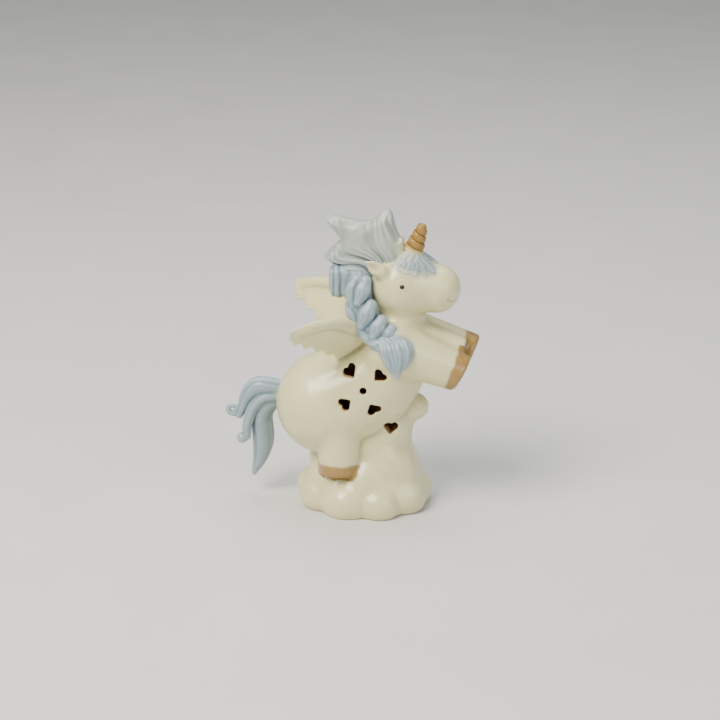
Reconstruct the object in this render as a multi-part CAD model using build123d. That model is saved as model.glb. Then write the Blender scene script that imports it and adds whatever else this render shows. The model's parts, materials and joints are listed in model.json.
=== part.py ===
"""Porcelain unicorn night light: slip-cast pieces luted onto a pierced, hollow body and a
hollow cloud base, with a plug-in battery light under the base.

Millimetres. +X is the way the unicorn faces, +Y is its left side and +Z is up. The origin is
the bottom centre of the whole figure's box, on the table.
"""

from build123d import *
from math import cos, pi, radians, sin
import os

# Walls, overruns and clearances
cast_wall = 3.2
overrun = 4.0
running_gap = 0.05
free_gap = 0.2
fit_gap = 0.02

# Where the base stands behind the middle of the figure's box
base_shift = 9.0

# Cloud base
base_half_length = 33.0
base_half_depth = 29.5
foot_lobe_count = 9
foot_lobe_turn_share = 0.3
lobe_point_count = 3
column_height = 54.0
cloud_lobe_radius = 9.0
floor_thickness = 3.5
recess_depth = 3.0
recess_radius = 23.6
bore_radius = 19.0
light_port_radius = 9.0
# height, centre, half length, half depth and how far the lobes swell, up the column
column_shares = (
    (0.00, 0.00, 0.93, 0.93, 0.045),
    (0.09, 0.00, 0.96, 0.96, 0.050),
    (0.18, 0.00, 0.93, 0.92, 0.050),
    (0.26, -0.01, 0.86, 0.82, 0.040),
    (0.38, -0.02, 0.76, 0.62, 0.025),
    (0.50, -0.08, 0.72, 0.54, 0.015),
    (0.62, 0.00, 0.58, 0.48, 0.010),
    (0.76, 0.10, 0.48, 0.42, 0.000),
    (1.00, 0.14, 0.36, 0.32, 0.000),
)
# forward, sideways, height and radius of the lobes that climb the front
side_lobe_shares = (
    (0.37, 0.21, 0.71, 1.02),
    (0.14, 0.29, 0.60, 0.90),
    (0.33, 0.33, 0.48, 0.86),
    (0.52, 0.22, 0.36, 0.93),
)
ball_shares = (0.71, 0.00, 0.91, 0.71)

# Pierced hearts and the round hole that they point to, on the right flank
heart_width = 6.0
heart_ring_radius = 9.5
heart_angles = (43.0, 130.0, 217.0, 298.0)
light_hole_radius = 1.7
heart_ring_forward = 19.7
heart_ring_rise = 14.5
cloud_heart_forward = 13.4
cloud_heart_height = 42.0
cloud_heart_turn_angle = -6.0

# Trunk: the rump is a ball, and the barrel sweeps up through the chest to the neck
rump_radius = 25.4
rump_behind = 18.5
rump_height = 50.4
trunk_forward = 35.3
trunk_rise = 62.0
# forward, rise and radius along the trunk, with the angle in degrees that it leans at
trunk_shares = (
    (0.00, 0.00, 12.0, 0.96),
    (0.56, 0.14, 28.0, 0.95),
    (0.93, 0.42, 62.0, 0.80),
    (1.00, 0.68, 88.0, 0.53),
    (1.00, 1.00, 90.0, 0.44),
)

# Hooved legs
hoof_length = 6.6
hoof_step = 0.3
hoof_round = 1.6
hind_leg_radius = 9.5
hind_leg_root_radius = 11.4
hind_leg_side = 12.0
hind_leg_forward = 6.9
hind_leg_sink = 2.4
hind_leg_length = 29.2
hind_leg_splay_angle = 5.8
foreleg_radius = 8.9
foreleg_root_radius = 12.6
foreleg_side = 12.5
foreleg_root_behind = 1.5
foreleg_root_drop = 28.0
right_foreleg_length = 34.2
right_foreleg_drop_angle = 19.0
left_foreleg_length = 37.2
left_foreleg_drop_angle = 14.5

# Head
head_radius = 15.8
head_length = 43.9
muzzle_radius = 11.5
head_nod_angle = 4.0
cheek_share = 0.86
bridge_share = 0.95
eye_radius = 1.0
eye_turn_angle = 82.0
eye_rise_angle = 12.8
ear_length = 12.4
ear_half_width = 3.8
ear_half_thickness = 2.0
# forward, sideways and up to the ear's root, then its lean
ear_seat_shares = (-0.44, 0.74, 0.50)
ear_lean_shares = (-0.68, 0.38, 0.62)

# Horn
horn_length = 19.5
horn_base_radius = 4.3
horn_tip_radius = 2.0
horn_seat_angle = 20.0
horn_lean_angle = 16.0
horn_turn_count = 3
horn_groove_depth = 0.5

# Hair: each lock is a row of shares, forward, sideways, up, width and depth
mane_reach = 38.0
mane_rise = 38.0
mane_side = 7.0
mane_half_width = 8.0
mane_half_depth = 7.4
crest_half_thickness = 7.4
# the crest's outline seen from the side, forward and up from the head's middle
crest_outline_shares = (
    (0.00, 0.56),
    (-0.06, 0.75),
    (-0.12, 0.96),
    (-0.17, 0.99),
    (-0.28, 0.93),
    (-0.35, 0.85),
    (-0.52, 0.82),
    (-0.75, 0.85),
    (-0.93, 0.84),
    (-0.96, 0.78),
    (-0.84, 0.63),
    (-0.76, 0.55),
    (-0.86, 0.44),
    (-0.97, 0.31),
    (-0.92, 0.22),
    (-0.68, 0.10),
    (-0.44, -0.14),
    (-0.18, -0.12),
    (-0.04, 0.24),
)
# how far out a slice of the crest stands, and how far it draws in towards its middle
crest_slice_shares = (
    (-1.00, 0.46),
    (-0.80, 0.74),
    (-0.40, 0.95),
    (0.00, 1.00),
    (0.40, 0.95),
    (0.80, 0.74),
    (1.00, 0.46),
)
crest_middle_shares = (-0.50, 0.46)
far_lock_shares = (
    (
        (-0.47, 0.6, 0.04, 0.80, 0.92),
        (-0.66, 0.7, 0.12, 0.78, 0.84),
        (-0.81, 0.8, 0.03, 0.60, 0.68),
        (-0.89, 0.9, -0.17, 0.25, 0.30),
    ),
    (
        (-0.39, 0.9, -0.06, 0.80, 0.81),
        (-0.51, 1.1, -0.22, 0.68, 0.81),
        (-0.57, 1.2, -0.43, 0.50, 0.59),
        (-0.59, 1.2, -0.65, 0.16, 0.16),
    ),
)
back_lock_shares = (
    (-0.44, -0.8, 0.15, 0.56, 0.68),
    (-0.66, -0.9, 0.18, 0.58, 0.70),
    (-0.78, -1.0, 0.08, 0.58, 0.70),
    (-0.80, -1.0, -0.08, 0.57, 0.68),
    (-0.79, -0.9, -0.19, 0.46, 0.54),
)
forelock_reach = 20.0
forelock_side = 13.0
forelock_rise = 19.0
forelock_half_width = 4.4
forelock_half_depth = 2.6
forelock_shares = (
    (
        (0.21, 0.12, 0.87, 0.86, 1.15),
        (0.01, 0.55, 0.78, 0.95, 1.00),
        (-0.15, 0.86, 0.62, 0.77, 0.85),
        (-0.24, 1.03, 0.47, 0.27, 0.38),
    ),
    (
        (0.26, 0.18, 0.87, 0.86, 1.15),
        (0.19, 0.63, 0.76, 0.91, 1.00),
        (0.14, 0.91, 0.58, 0.73, 0.85),
        (0.10, 1.05, 0.44, 0.27, 0.38),
    ),
    (
        (0.34, 0.20, 0.86, 0.86, 1.15),
        (0.41, 0.60, 0.73, 0.91, 1.00),
        (0.46, 0.85, 0.54, 0.68, 0.85),
        (0.51, 0.97, 0.40, 0.25, 0.38),
    ),
    (
        (0.41, 0.08, 0.83, 0.91, 1.23),
        (0.63, 0.31, 0.71, 1.05, 1.15),
        (0.81, 0.51, 0.54, 0.82, 0.92),
        (0.97, 0.63, 0.38, 0.27, 0.38),
    ),
)

# Braid on the right side: lobes leave the braid's edges in turn and meet in its middle
braid_half_width = 8.0
braid_half_depth = 5.2
braid_pair_count = 4
braid_lobe_half_width = 4.0
tie_half_width = 3.0
tuft_lock_count = 3
# forward, sideways and up along the braid's line, in shares of the mane's reach and rise
braid_line_shares = (
    (-0.56, -0.28, 0.23),
    (-0.48, -0.38, -0.04),
    (-0.34, -0.46, -0.29),
    (-0.19, -0.50, -0.51),
)
tuft_line_shares = (
    (-0.17, -0.51, -0.54),
    (-0.09, -0.57, -0.74),
    (-0.01, -0.61, -1.05),
)

# Tail: three locks that leave one root, and a curl on the end of the outer one
tail_reach = 25.0
tail_drop = 46.0
tail_side = 5.0
tail_half_width = 5.4
tail_half_depth = 5.0
tail_root_rise = 5.0
curl_radius = 2.4
curl_half_thickness = 1.35
curl_turn_angle = 310.0
curl_step_count = 9
curl_start_share = 0.10
curl_closing_share = 0.34
tail_knob_radius = 2.5
tail_shares = (
    (
        (0.14, 0.0, 0.03, 0.60, 0.80),
        (-0.32, -0.1, 0.10, 0.66, 0.86),
        (-0.62, -0.2, 0.02, 0.58, 0.76),
        (-0.80, -0.2, -0.13, 0.44, 0.56),
        (-0.88, -0.2, -0.28, 0.26, 0.32),
    ),
    (
        (0.18, -0.2, -0.02, 0.54, 0.76),
        (-0.36, -0.4, -0.06, 0.50, 0.74),
        (-0.62, -0.5, -0.24, 0.46, 0.66),
        (-0.72, -0.5, -0.52, 0.42, 0.56),
        (-0.70, -0.5, -0.84, 0.36, 0.40),
    ),
    (
        (0.22, 0.2, -0.07, 0.52, 0.80),
        (-0.28, 0.3, -0.18, 0.76, 1.00),
        (-0.32, 0.4, -0.46, 0.96, 1.00),
        (-0.30, 0.4, -0.76, 0.84, 0.84),
        (-0.48, 0.3, -1.00, 0.56, 0.56),
        (-0.54, 0.3, -1.14, 0.16, 0.18),
    ),
)

# Wings: each is an oblique sheet of feathers that spreads back, out and up from its root
wing_root_forward = -1.0
wing_root_side = 15.8
wing_root_height = 95.5
right_wing_span_back = 31.5
left_wing_span_back = 40.0
wing_span_side = 27.5
wing_span_rise = 9.0
wing_chord_tuck = 11.5
wing_chord_drop = 18.0
feather_half_width = 3.5
feather_half_thickness = 1.5
wing_edge_radius = 2.5
# along the span and the chord: root, middle and tip of each feather
feather_shares = (
    ((-0.04, 0.12), (0.50, 0.06), (0.94, 0.50)),
    ((-0.04, 0.24), (0.47, 0.28), (0.92, 0.72)),
    ((-0.04, 0.36), (0.42, 0.46), (0.79, 0.88)),
    ((-0.04, 0.48), (0.36, 0.62), (0.63, 0.96)),
    ((-0.04, 0.60), (0.28, 0.76), (0.48, 1.02)),
    ((-0.04, 0.72), (0.20, 0.92), (0.36, 1.17)),
    ((-0.04, 0.84), (0.12, 1.04), (0.23, 1.27)),
)
# distance along a feather, then its width and thickness there
feather_form_shares = (
    (0.0, 0.92, 1.25),
    (0.5, 1.00, 0.90),
    (1.0, 0.55, 0.60),
)
# span, chord and thickness along the rounded leading edge
wing_edge_shares = (
    (-0.02, 0.10, 1.10),
    (0.30, -0.10, 1.00),
    (0.56, -0.02, 0.92),
    (0.78, 0.20, 0.76),
    (0.92, 0.44, 0.48),
)

# Plug-in light: housing, cover and grip ring
flange_radius = 22.4
flange_lift = 0.8
housing_radius = 18.2
housing_wall = 1.4
housing_top = 11.5
housing_floor = 2.8
cover_thickness = 1.5
grip_ring_height = 3.0

# Coin cell, its pocket, and the contacts above and below it
cell_radius = 10.0
cell_height = 3.2
cell_behind = 2.5
cell_clearance = 0.3
pocket_wall = 1.2
contact_thickness = 0.25
contact_width = 4.0
lower_contact_rise = 0.75

# Circuit board and light
board_thickness = 1.2
board_half_length = 10.6
board_half_width = 10.5
board_height = 7.4
led_radius = 2.5
led_flange_radius = 2.9
led_flange_height = 1.0
led_barrel_height = 5.2
led_lead_radius = 0.25
led_lead_spacing = 2.54

# Battery door and its hinge
door_recess_depth = 1.6
door_thickness = 1.4
door_half_width = 10.6
door_front = 9.0
hinge_forward = -13.9
hinge_radius = 0.7
hinge_pin_radius = 0.35
hinge_pin_end = 13.0
knuckle_half_length = 7.0
latch_half_width = 3.5
latch_slit_width = 0.7
latch_slit_length = 4.5
finger_notch_radius = 2.6

# Slide switch
switch_forward = 13.2
switch_case_length = 8.4
switch_case_width = 3.8
switch_case_height = 3.0
switch_wall = 0.7
slider_length = 2.6
slider_width = 1.6
slider_foot = 0.3
switch_travel = 2.0

# Cover screws and their posts
screw_radius = 0.9
screw_length = 6.0
screw_head_radius = 1.9
screw_head_height = 1.0
screw_forward = 5.0
screw_side = 13.4
post_radius = 2.1

side_way = Vector(0, 1, 0)
up_way = Vector(0, 0, 1)
forward_way = Vector(1, 0, 0)


def lean(angle):
    """The direction in the middle plane that leans this many degrees up from forwards."""
    return Vector(cos(radians(angle)), 0, sin(radians(angle)))


def station(at, way, across, half_across, half_other):
    """One oval cross-section, square to its way, with half_across measured along across."""
    return Plane(origin=at, x_dir=across, z_dir=way) * Ellipse(half_across, half_other)


def limb(points, half_widths, half_depths, across=side_way):
    """A smooth tapering form through oval sections along the points."""
    last = len(points) - 1
    sections = []
    for i, point in enumerate(points):
        way = (points[min(i + 1, last)] - points[max(i - 1, 0)]).normalized()
        flat = (across - way * across.dot(way)).normalized()
        sections.append(station(point, way, flat, half_depths[i], half_widths[i]))
    return loft(sections)


def fused(pieces):
    """All the pieces joined as one clay form."""
    whole = pieces[0]
    for piece in pieces[1:]:
        whole = whole + piece
    return whole


def hair(locks, origin, reach, side, rise, half_width, half_depth, sign=1):
    """Locks of hair, each from its rows of shares, fused at their roots."""
    pieces = []
    for rows in locks:
        points = [origin + Vector(x * reach, sign * y * side, z * rise) for x, y, z, w, d in rows]
        widths = [row[3] * half_width for row in rows]
        depths = [row[4] * half_depth for row in rows]
        pieces.append(limb(points, widths, depths))
    return fused(pieces)


def biggest(shape):
    """The largest solid of a trimmed shape, without the crumbs that a trim leaves."""
    return max(shape.solids(), key=lambda solid: solid.volume)


def upright_cylinder(radius, bottom, top, x=0, y=0):
    """A vertical cylinder between two heights."""
    base = (Align.CENTER, Align.CENTER, Align.MIN)
    return Pos(x, y, bottom) * Cylinder(radius, top - bottom, align=base)


def block(x_low, x_high, y_half, z_low, z_high):
    """A box between two stations, as wide on both sides of the middle plane."""
    base = (Align.MIN, Align.CENTER, Align.MIN)
    return Pos(x_low, 0, z_low) * Box(x_high - x_low, 2 * y_half, z_high - z_low, align=base)


# Places that several pieces share
rump_at = Vector(-rump_behind, 0, rump_height)
head_at = rump_at + Vector(trunk_forward, 0, trunk_rise)
hinge_height = flange_lift + door_recess_depth / 2
recess_top = flange_lift + door_recess_depth
floor_top = flange_lift + housing_floor
cell_bottom = flange_lift + door_thickness + lower_contact_rise
cover_top = housing_top + cover_thickness
cell_x = -cell_behind


def trunk(inset):
    """The trunk's form drawn in by a wall: the rump's ball and the swept barrel and neck."""
    sections = []
    for forward, rise, angle, share in trunk_shares:
        at = rump_at + Vector(forward * trunk_forward, 0, rise * trunk_rise)
        radius = share * rump_radius - inset
        sections.append(station(at, lean(angle), side_way, radius, radius))
    return Pos(rump_at) * Sphere(rump_radius - inset) + loft(sections)


def heart():
    """A heart outline with its tip down: a square stood on its corner and two round lobes."""
    side = heart_width / (1 + cos(pi / 4))
    middle = side / 2 * cos(pi / 4)
    outline = Rectangle(side, side, rotation=45)
    for sign in (-1, 1):
        outline = outline + Pos(sign * middle, middle) * Circle(side / 2)
    return outline


def through_cut(outline, at, reach):
    """A prism of an outline from the middle plane out through the right side."""
    plane = Plane(origin=at, x_dir=forward_way, z_dir=-side_way)
    return extrude(plane * outline, reach)


def heart_ring():
    """The round hole and the hearts whose tips point to it, cut through the right flank."""
    at = rump_at + Vector(heart_ring_forward, 0, heart_ring_rise)
    reach = rump_radius + overrun
    cuts = through_cut(Circle(light_hole_radius), at, reach)
    for angle in heart_angles:
        outline = Rot(0, 0, angle) * Pos(heart_ring_radius, 0) * Rot(0, 0, -90) * heart()
        cuts = cuts + through_cut(outline, at, reach)
    return cuts


def cloud_section(row):
    """One level outline of the cloud: an oval whose edge swells into soft lobes."""
    height, centre, half_length, half_depth, swell = row
    count = lobe_point_count * foot_lobe_count
    points = []
    for i in range(count):
        turn = 2 * pi * i / count
        bulge = 1 + swell * cos(foot_lobe_count * turn - 2 * pi * foot_lobe_turn_share)
        x = half_length * base_half_length * bulge * cos(turn)
        y = half_depth * base_half_depth * bulge * sin(turn)
        points.append((centre * base_half_length + x, y, height * column_height))
    return make_face(Spline(*points, periodic=True))


def cloud_lobe(row, inset):
    """One round lobe of the cloud, drawn in by a wall where it is cut as a hollow."""
    x, y, z, r = row
    at = Pos(x * base_half_length, y * base_half_depth, z * column_height)
    return at * Sphere(r * cloud_lobe_radius - inset)


def cloud():
    """The cloud: a lobed column, the lobes that climb its front and the ball at its top."""
    form = loft([cloud_section(row) for row in column_shares])
    mirrored = [(x, -y, z, r) for x, y, z, r in side_lobe_shares]
    for row in [*side_lobe_shares, *mirrored, ball_shares]:
        form = form + cloud_lobe(row, 0)
    return form


def cloud_hollow():
    """The space inside the cloud: a plain oval column and the backs of the pierced lobes."""
    rows = []
    for height, centre, half_length, half_depth, swell in column_shares:
        at = Vector(centre * base_half_length, 0, height * column_height)
        half_x = half_length * base_half_length * (1 - swell) - cast_wall
        half_y = half_depth * base_half_depth * (1 - swell) - cast_wall
        rows.append(station(at, up_way, forward_way, half_x, half_y))
    form = loft(rows)
    x, y, z, r = side_lobe_shares[0]
    form = form + cloud_lobe((x, -y, z, r), cast_wall)
    reach = 2 * base_half_length
    return form & block(-reach, reach, reach, recess_depth + floor_thickness, reach)


def cast_cloud_base(cloud_solid, trunk_form):
    """The hollow cloud with its foot ring, recess, floor and bore, and its pierced hearts."""
    form = cloud_solid - trunk_form - cloud_hollow()
    form = form - upright_cylinder(recess_radius, -overrun, recess_depth)
    bore_top = recess_depth + floor_thickness + overrun
    form = form - upright_cylinder(bore_radius, -overrun, bore_top)
    at = Vector(cloud_heart_forward, 0, cloud_heart_height)
    outline = Rot(0, 0, cloud_heart_turn_angle) * heart()
    return biggest(form - through_cut(outline, at, base_half_depth + overrun))


def head_form(inset):
    """The skull's ball and the muzzle's ball, with the cheeks drawn from one to the other."""
    way = lean(-head_nod_angle)
    skull = head_radius - inset
    muzzle = muzzle_radius - inset
    muzzle_at = head_at + way * (head_length - head_radius - muzzle_radius)
    middle = (head_at + muzzle_at) / 2
    radii = [bridge_share * skull, cheek_share * skull, bridge_share * muzzle]
    bridge = limb([head_at, middle, muzzle_at], radii, radii)
    return Pos(head_at) * Sphere(skull) + bridge + Pos(muzzle_at) * Sphere(muzzle)


def leg(root, way, length, root_radius, radius):
    """A leg's tapering form down to the hoof line, and the hoof beyond it."""
    hoof_line = root + way * (length - hoof_length)
    middle = root + way * (length / 2)
    radii = [root_radius, (root_radius + 2 * radius) / 3, radius]
    shank = limb([root, middle, hoof_line], radii, radii) + Pos(root) * Sphere(root_radius)
    base = (Align.CENTER, Align.CENTER, Align.MIN)
    hoof = Cylinder(radius + hoof_step, hoof_length, align=base)
    hoof = fillet(hoof.edges().sort_by(Axis.Z)[-1], hoof_round)
    return shank, Plane(origin=hoof_line, x_dir=side_way, z_dir=way) * hoof


def ear_form(sign):
    """One leaf-shaped ear that stands back and out from the side of the head."""
    seat = Vector(ear_seat_shares[0], sign * ear_seat_shares[1], ear_seat_shares[2]).normalized()
    way = Vector(ear_lean_shares[0], sign * ear_lean_shares[1], ear_lean_shares[2]).normalized()
    root = head_at + seat * (head_radius - ear_half_width)
    points = [root + way * (ear_length * share) for share in (0, 0.45, 0.8, 1)]
    widths = [ear_half_width * share for share in (0.9, 1, 0.66, 0.2)]
    depths = [ear_half_thickness * share for share in (0.9, 1, 0.8, 0.4)]
    return limb(points, depths, widths, across=seat.cross(way))


def eye_form(sign):
    """A small bead of black glaze, half sunk in the side of the head."""
    turn = radians(eye_turn_angle)
    rise = radians(eye_rise_angle)
    way = Vector(cos(rise) * cos(turn), sign * cos(rise) * sin(turn), sin(rise))
    return Pos(head_at + way * (head_radius - eye_radius / 2)) * Sphere(eye_radius)


def horn_groove(radius):
    """One turn of the horn's groove: two shallow cones that meet in its root."""
    reach = radius + horn_groove_depth
    root = radius - horn_groove_depth
    band = Cylinder(reach + horn_groove_depth, 2 * horn_groove_depth)
    base = (Align.CENTER, Align.CENTER, Align.MIN)
    upper = Cone(root, reach, 2 * horn_groove_depth, align=base)
    return band - upper - Rot(180, 0, 0) * upper


def horn_form():
    """The blunt horn with its spiral groove, leaning forwards from the brow."""
    root = head_at + lean(90 - horn_seat_angle) * (head_radius - horn_base_radius / 2)
    straight = horn_length - horn_tip_radius
    base = (Align.CENTER, Align.CENTER, Align.MIN)
    form = Cone(horn_base_radius, horn_tip_radius, straight, align=base)
    form = form + Pos(0, 0, straight) * Sphere(horn_tip_radius)
    pitch = straight / (horn_turn_count + 1)
    for i in range(1, horn_turn_count + 2):
        height = i * pitch - pitch / 4
        radius = horn_base_radius + (horn_tip_radius - horn_base_radius) * height / straight
        at = Pos(0, 0, height) * Rot(horn_lean_angle / 2, 0, 0)
        form = form - at * horn_groove(radius)
    return Plane(origin=root, x_dir=side_way, z_dir=lean(90 - horn_lean_angle)) * form


def crest_form():
    """The crest: slices of one flame-shaped outline that draw in towards both faces."""
    middle_x, middle_z = crest_middle_shares
    slices = []
    for side, draw in crest_slice_shares:
        points = []
        for x, z in crest_outline_shares:
            forward = (middle_x + (x - middle_x) * draw) * mane_reach
            rise = (middle_z + (z - middle_z) * draw) * mane_rise
            points.append(head_at + Vector(forward, side * crest_half_thickness, rise))
        slices.append(make_face(Spline(*points, periodic=True)))
    return loft(slices)


def line_points(line_shares):
    """The places on the braid's line, from shares of the mane's reach and rise."""
    return [head_at + Vector(x * mane_reach, y * mane_reach, z * mane_rise) for x, y, z in line_shares]


def braid_form():
    """The braid: pairs of lobes that cross from alternate edges, a tie and a tuft."""
    path = Spline(*line_points(braid_line_shares))
    count = 2 * braid_pair_count
    pieces = []
    for i in range(count):
        sign = 1 if i % 2 == 0 else -1
        start, end = i / (count + 1), (i + 2) / (count + 1)
        outer, inner = path @ start, path @ min(end, 1)
        way = path % ((start + end) / 2)
        outwards = Vector(0, -1, 0)
        across = way.cross(outwards).normalized() * sign
        top = outer + across * (braid_half_width - braid_lobe_half_width)
        bottom = inner + outwards * (braid_half_depth / 4)
        middle = (top * 2 + bottom) / 3 + outwards * (braid_half_depth / 3)
        widths = [braid_lobe_half_width * share for share in (0.5, 1, 0.3)]
        pieces.append(limb([top, middle, bottom], widths, widths))
    pieces.append(limb(
        [path @ 0, path @ 0.5, path @ 1],
        [braid_half_depth * share for share in (0.9, 1, 0.6)],
        [braid_half_depth * share for share in (0.9, 1, 0.6)],
    ))
    tuft = line_points(tuft_line_shares)
    pieces.append(Pos((path @ 1 + tuft[0]) / 2) * Sphere(tie_half_width))
    for i in range(tuft_lock_count):
        spread = (i - (tuft_lock_count - 1) / 2) * forward_way
        fan = [tuft[0], tuft[1] + spread * braid_lobe_half_width, tuft[2] + spread * braid_half_width]
        fan[2] = fan[2] + up_way * (abs(spread.X) * braid_half_width / 2)
        widths = [braid_lobe_half_width * share for share in (0.7, 1, 0.24)]
        pieces.append(limb(fan, widths, widths))
    return fused(pieces)


def tail_place(row, root):
    """The place of one row of a tail lock."""
    return root + Vector(row[0] * tail_reach, row[1] * tail_side, row[2] * tail_drop)


def curl_form(start):
    """The curl on the outer lock: it turns down, under, up and back over itself."""
    centre = start - forward_way * curl_radius
    points = []
    halves = []
    for i in range(curl_step_count + 1):
        step = i / curl_step_count
        turn = radians(curl_turn_angle * (curl_start_share - step))
        radius = curl_radius * (1 - curl_closing_share * step)
        points.append(centre + Vector(radius * cos(turn), 0, radius * sin(turn)))
        halves.append(curl_half_thickness * (1 - curl_closing_share * step))
    return limb(points, halves, halves)


def tail_form():
    """Three locks from one root, with a curl on the end of the outer lock."""
    root = rump_at + Vector(-rump_radius, 0, tail_root_rise)
    locks = hair(
        tail_shares, root, tail_reach, tail_side, tail_drop, tail_half_width, tail_half_depth
    )
    knob_row = tail_shares[1][-1]
    knob = Pos(tail_place(knob_row, root)) * Sphere(tail_knob_radius)
    return fused([locks, curl_form(tail_place(tail_shares[0][-1], root)), knob])


def wing_form(sign, span_back):
    """A fan of feathers on an oblique sheet: span goes back and out, chord down and in."""
    root = Vector(wing_root_forward, sign * wing_root_side, wing_root_height)
    span = Vector(-span_back, sign * wing_span_side, wing_span_rise)
    chord = Vector(0, -sign * wing_chord_tuck, -wing_chord_drop)
    pieces = []
    for feather in feather_shares:
        line = Spline(*[root + span * s + chord * c for s, c in feather])
        points = [line @ row[0] for row in feather_form_shares]
        widths = [row[1] * feather_half_width for row in feather_form_shares]
        depths = [row[2] * feather_half_thickness for row in feather_form_shares]
        pieces.append(limb(points, depths, widths, across=chord))
    points = [root + span * s + chord * c for s, c, share in wing_edge_shares]
    radii = [share * wing_edge_radius for s, c, share in wing_edge_shares]
    pieces.append(limb(points, radii, radii))
    return fused(pieces)


def light_housing():
    """The cup and flange, with the door recess, cell pocket, switch slot and screw posts."""
    inner = housing_radius - housing_wall
    form = upright_cylinder(flange_radius, flange_lift, recess_depth - fit_gap)
    form = form + upright_cylinder(housing_radius, flange_lift, housing_top)
    form = form - upright_cylinder(inner, floor_top, housing_top + overrun)
    pocket = cell_radius + cell_clearance
    form = form + upright_cylinder(pocket + pocket_wall, floor_top, board_height, x=cell_x)
    form = form - upright_cylinder(pocket, 0, housing_top, x=cell_x)
    for sign in (-1, 1):
        y = sign * screw_side
        form = form + upright_cylinder(post_radius, floor_top, housing_top, x=screw_forward, y=y)
        hole_bottom = housing_top + cover_thickness - screw_length
        form = form - upright_cylinder(
            screw_radius, hole_bottom, housing_top + overrun, x=screw_forward, y=y
        )
    back = hinge_forward - hinge_radius - 2 * free_gap
    door_side = door_half_width + free_gap
    form = form - block(back, door_front + free_gap, door_side, flange_lift - overrun, recess_top)
    notch = upright_cylinder(finger_notch_radius, flange_lift - overrun, recess_top, x=door_front)
    slot_half = slider_length / 2 + switch_travel + free_gap
    slot_edge = slider_width / 2 + free_gap
    slot = block(
        switch_forward - slot_edge, switch_forward + slot_edge, slot_half, 0, floor_top + overrun
    )
    pin_plane = Plane(origin=(hinge_forward, 0, hinge_height), z_dir=-side_way)
    pin_hole = pin_plane * Cylinder(
        hinge_pin_radius, flange_radius, align=(Align.CENTER, Align.CENTER, Align.MIN)
    )
    blind = pin_plane * Pos(0, 0, -hinge_pin_end) * Cylinder(
        hinge_pin_radius, hinge_pin_end, align=(Align.CENTER, Align.CENTER, Align.MIN)
    )
    return form - notch - slot - pin_hole - blind


def housing_cover():
    """The disc that closes the cup, with the light's hole and the two screw holes."""
    form = upright_cylinder(housing_radius, housing_top, cover_top)
    form = form - upright_cylinder(led_radius + free_gap, 0, cover_top + overrun, x=cell_x)
    for sign in (-1, 1):
        y = sign * screw_side
        form = form - upright_cylinder(screw_radius, 0, cover_top + overrun, x=screw_forward, y=y)
    return form


def cover_screw(sign):
    """A small pan-headed screw through the cover into its post."""
    y = sign * screw_side
    head_top = cover_top + screw_head_height
    head = upright_cylinder(screw_head_radius, cover_top, head_top, x=screw_forward, y=y)
    head = fillet(head.edges().sort_by(Axis.Z)[-1], screw_head_height / 2)
    drive = Box(screw_head_radius, screw_head_height / 3, screw_head_height)
    cross = drive + Rot(0, 0, 90) * drive
    shank = upright_cylinder(screw_radius, cover_top - screw_length, cover_top, x=screw_forward, y=y)
    return head + shank - Pos(screw_forward, y, head_top) * cross


def circuit_board():
    """The board that rests on the pocket's rim, with the two holes for the light's leads."""
    top = board_height + board_thickness
    form = block(
        cell_x - board_half_length, cell_x + board_half_length, board_half_width, board_height, top
    )
    form = fillet(form.edges().filter_by(Axis.Z), board_half_width / 4)
    for sign in (-1, 1):
        y = sign * led_lead_spacing / 2
        form = form - upright_cylinder(led_lead_radius, 0, top + overrun, x=cell_x, y=y)
    return form


def led_lens():
    """The clear epoxy lamp: a flanged barrel with a domed top, drilled for its leads."""
    bottom = board_height + board_thickness
    barrel_top = bottom + led_flange_height + led_barrel_height
    form = upright_cylinder(led_flange_radius, bottom, bottom + led_flange_height, x=cell_x)
    form = form + upright_cylinder(led_radius, bottom, barrel_top, x=cell_x)
    form = form + Pos(cell_x, 0, barrel_top) * Sphere(led_radius)
    return form - led_leads()


def led_leads():
    """The two straight leads from inside the lens down through the board."""
    top = board_height + board_thickness + led_flange_height + led_barrel_height / 2
    pair = []
    for sign in (-1, 1):
        y = sign * led_lead_spacing / 2
        pair.append(upright_cylinder(led_lead_radius, board_height, top, x=cell_x, y=y))
    return fused(pair)


def coin_cell():
    """The cell: a can with a slightly smaller, rounded lower cap."""
    cap = cell_height / 5
    can = upright_cylinder(cell_radius, cell_bottom + cap, cell_bottom + cell_height, x=cell_x)
    can = fillet(can.edges().sort_by(Axis.Z)[-1], cap / 2)
    return can + upright_cylinder(cell_radius - 2 * cap, cell_bottom, cell_bottom + cap, x=cell_x)


def leaf(low, high, x_start, x_end):
    """A bowed spring strip that touches one level at its ends and the other in its middle."""
    middle = (x_start + x_end) / 2
    rise = high - low - contact_thickness
    start = Vector(x_start, 0, low)
    line = ThreePointArc(start, Vector(middle, 0, low + rise), Vector(x_end, 0, low))
    upper = line.moved(Pos(0, 0, contact_thickness))
    ends = [Line(line @ 0, upper @ 0), Line(line @ 1, upper @ 1)]
    strip = make_face([line, upper, *ends])
    return extrude(strip, contact_width / 2, dir=side_way, both=True)


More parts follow.
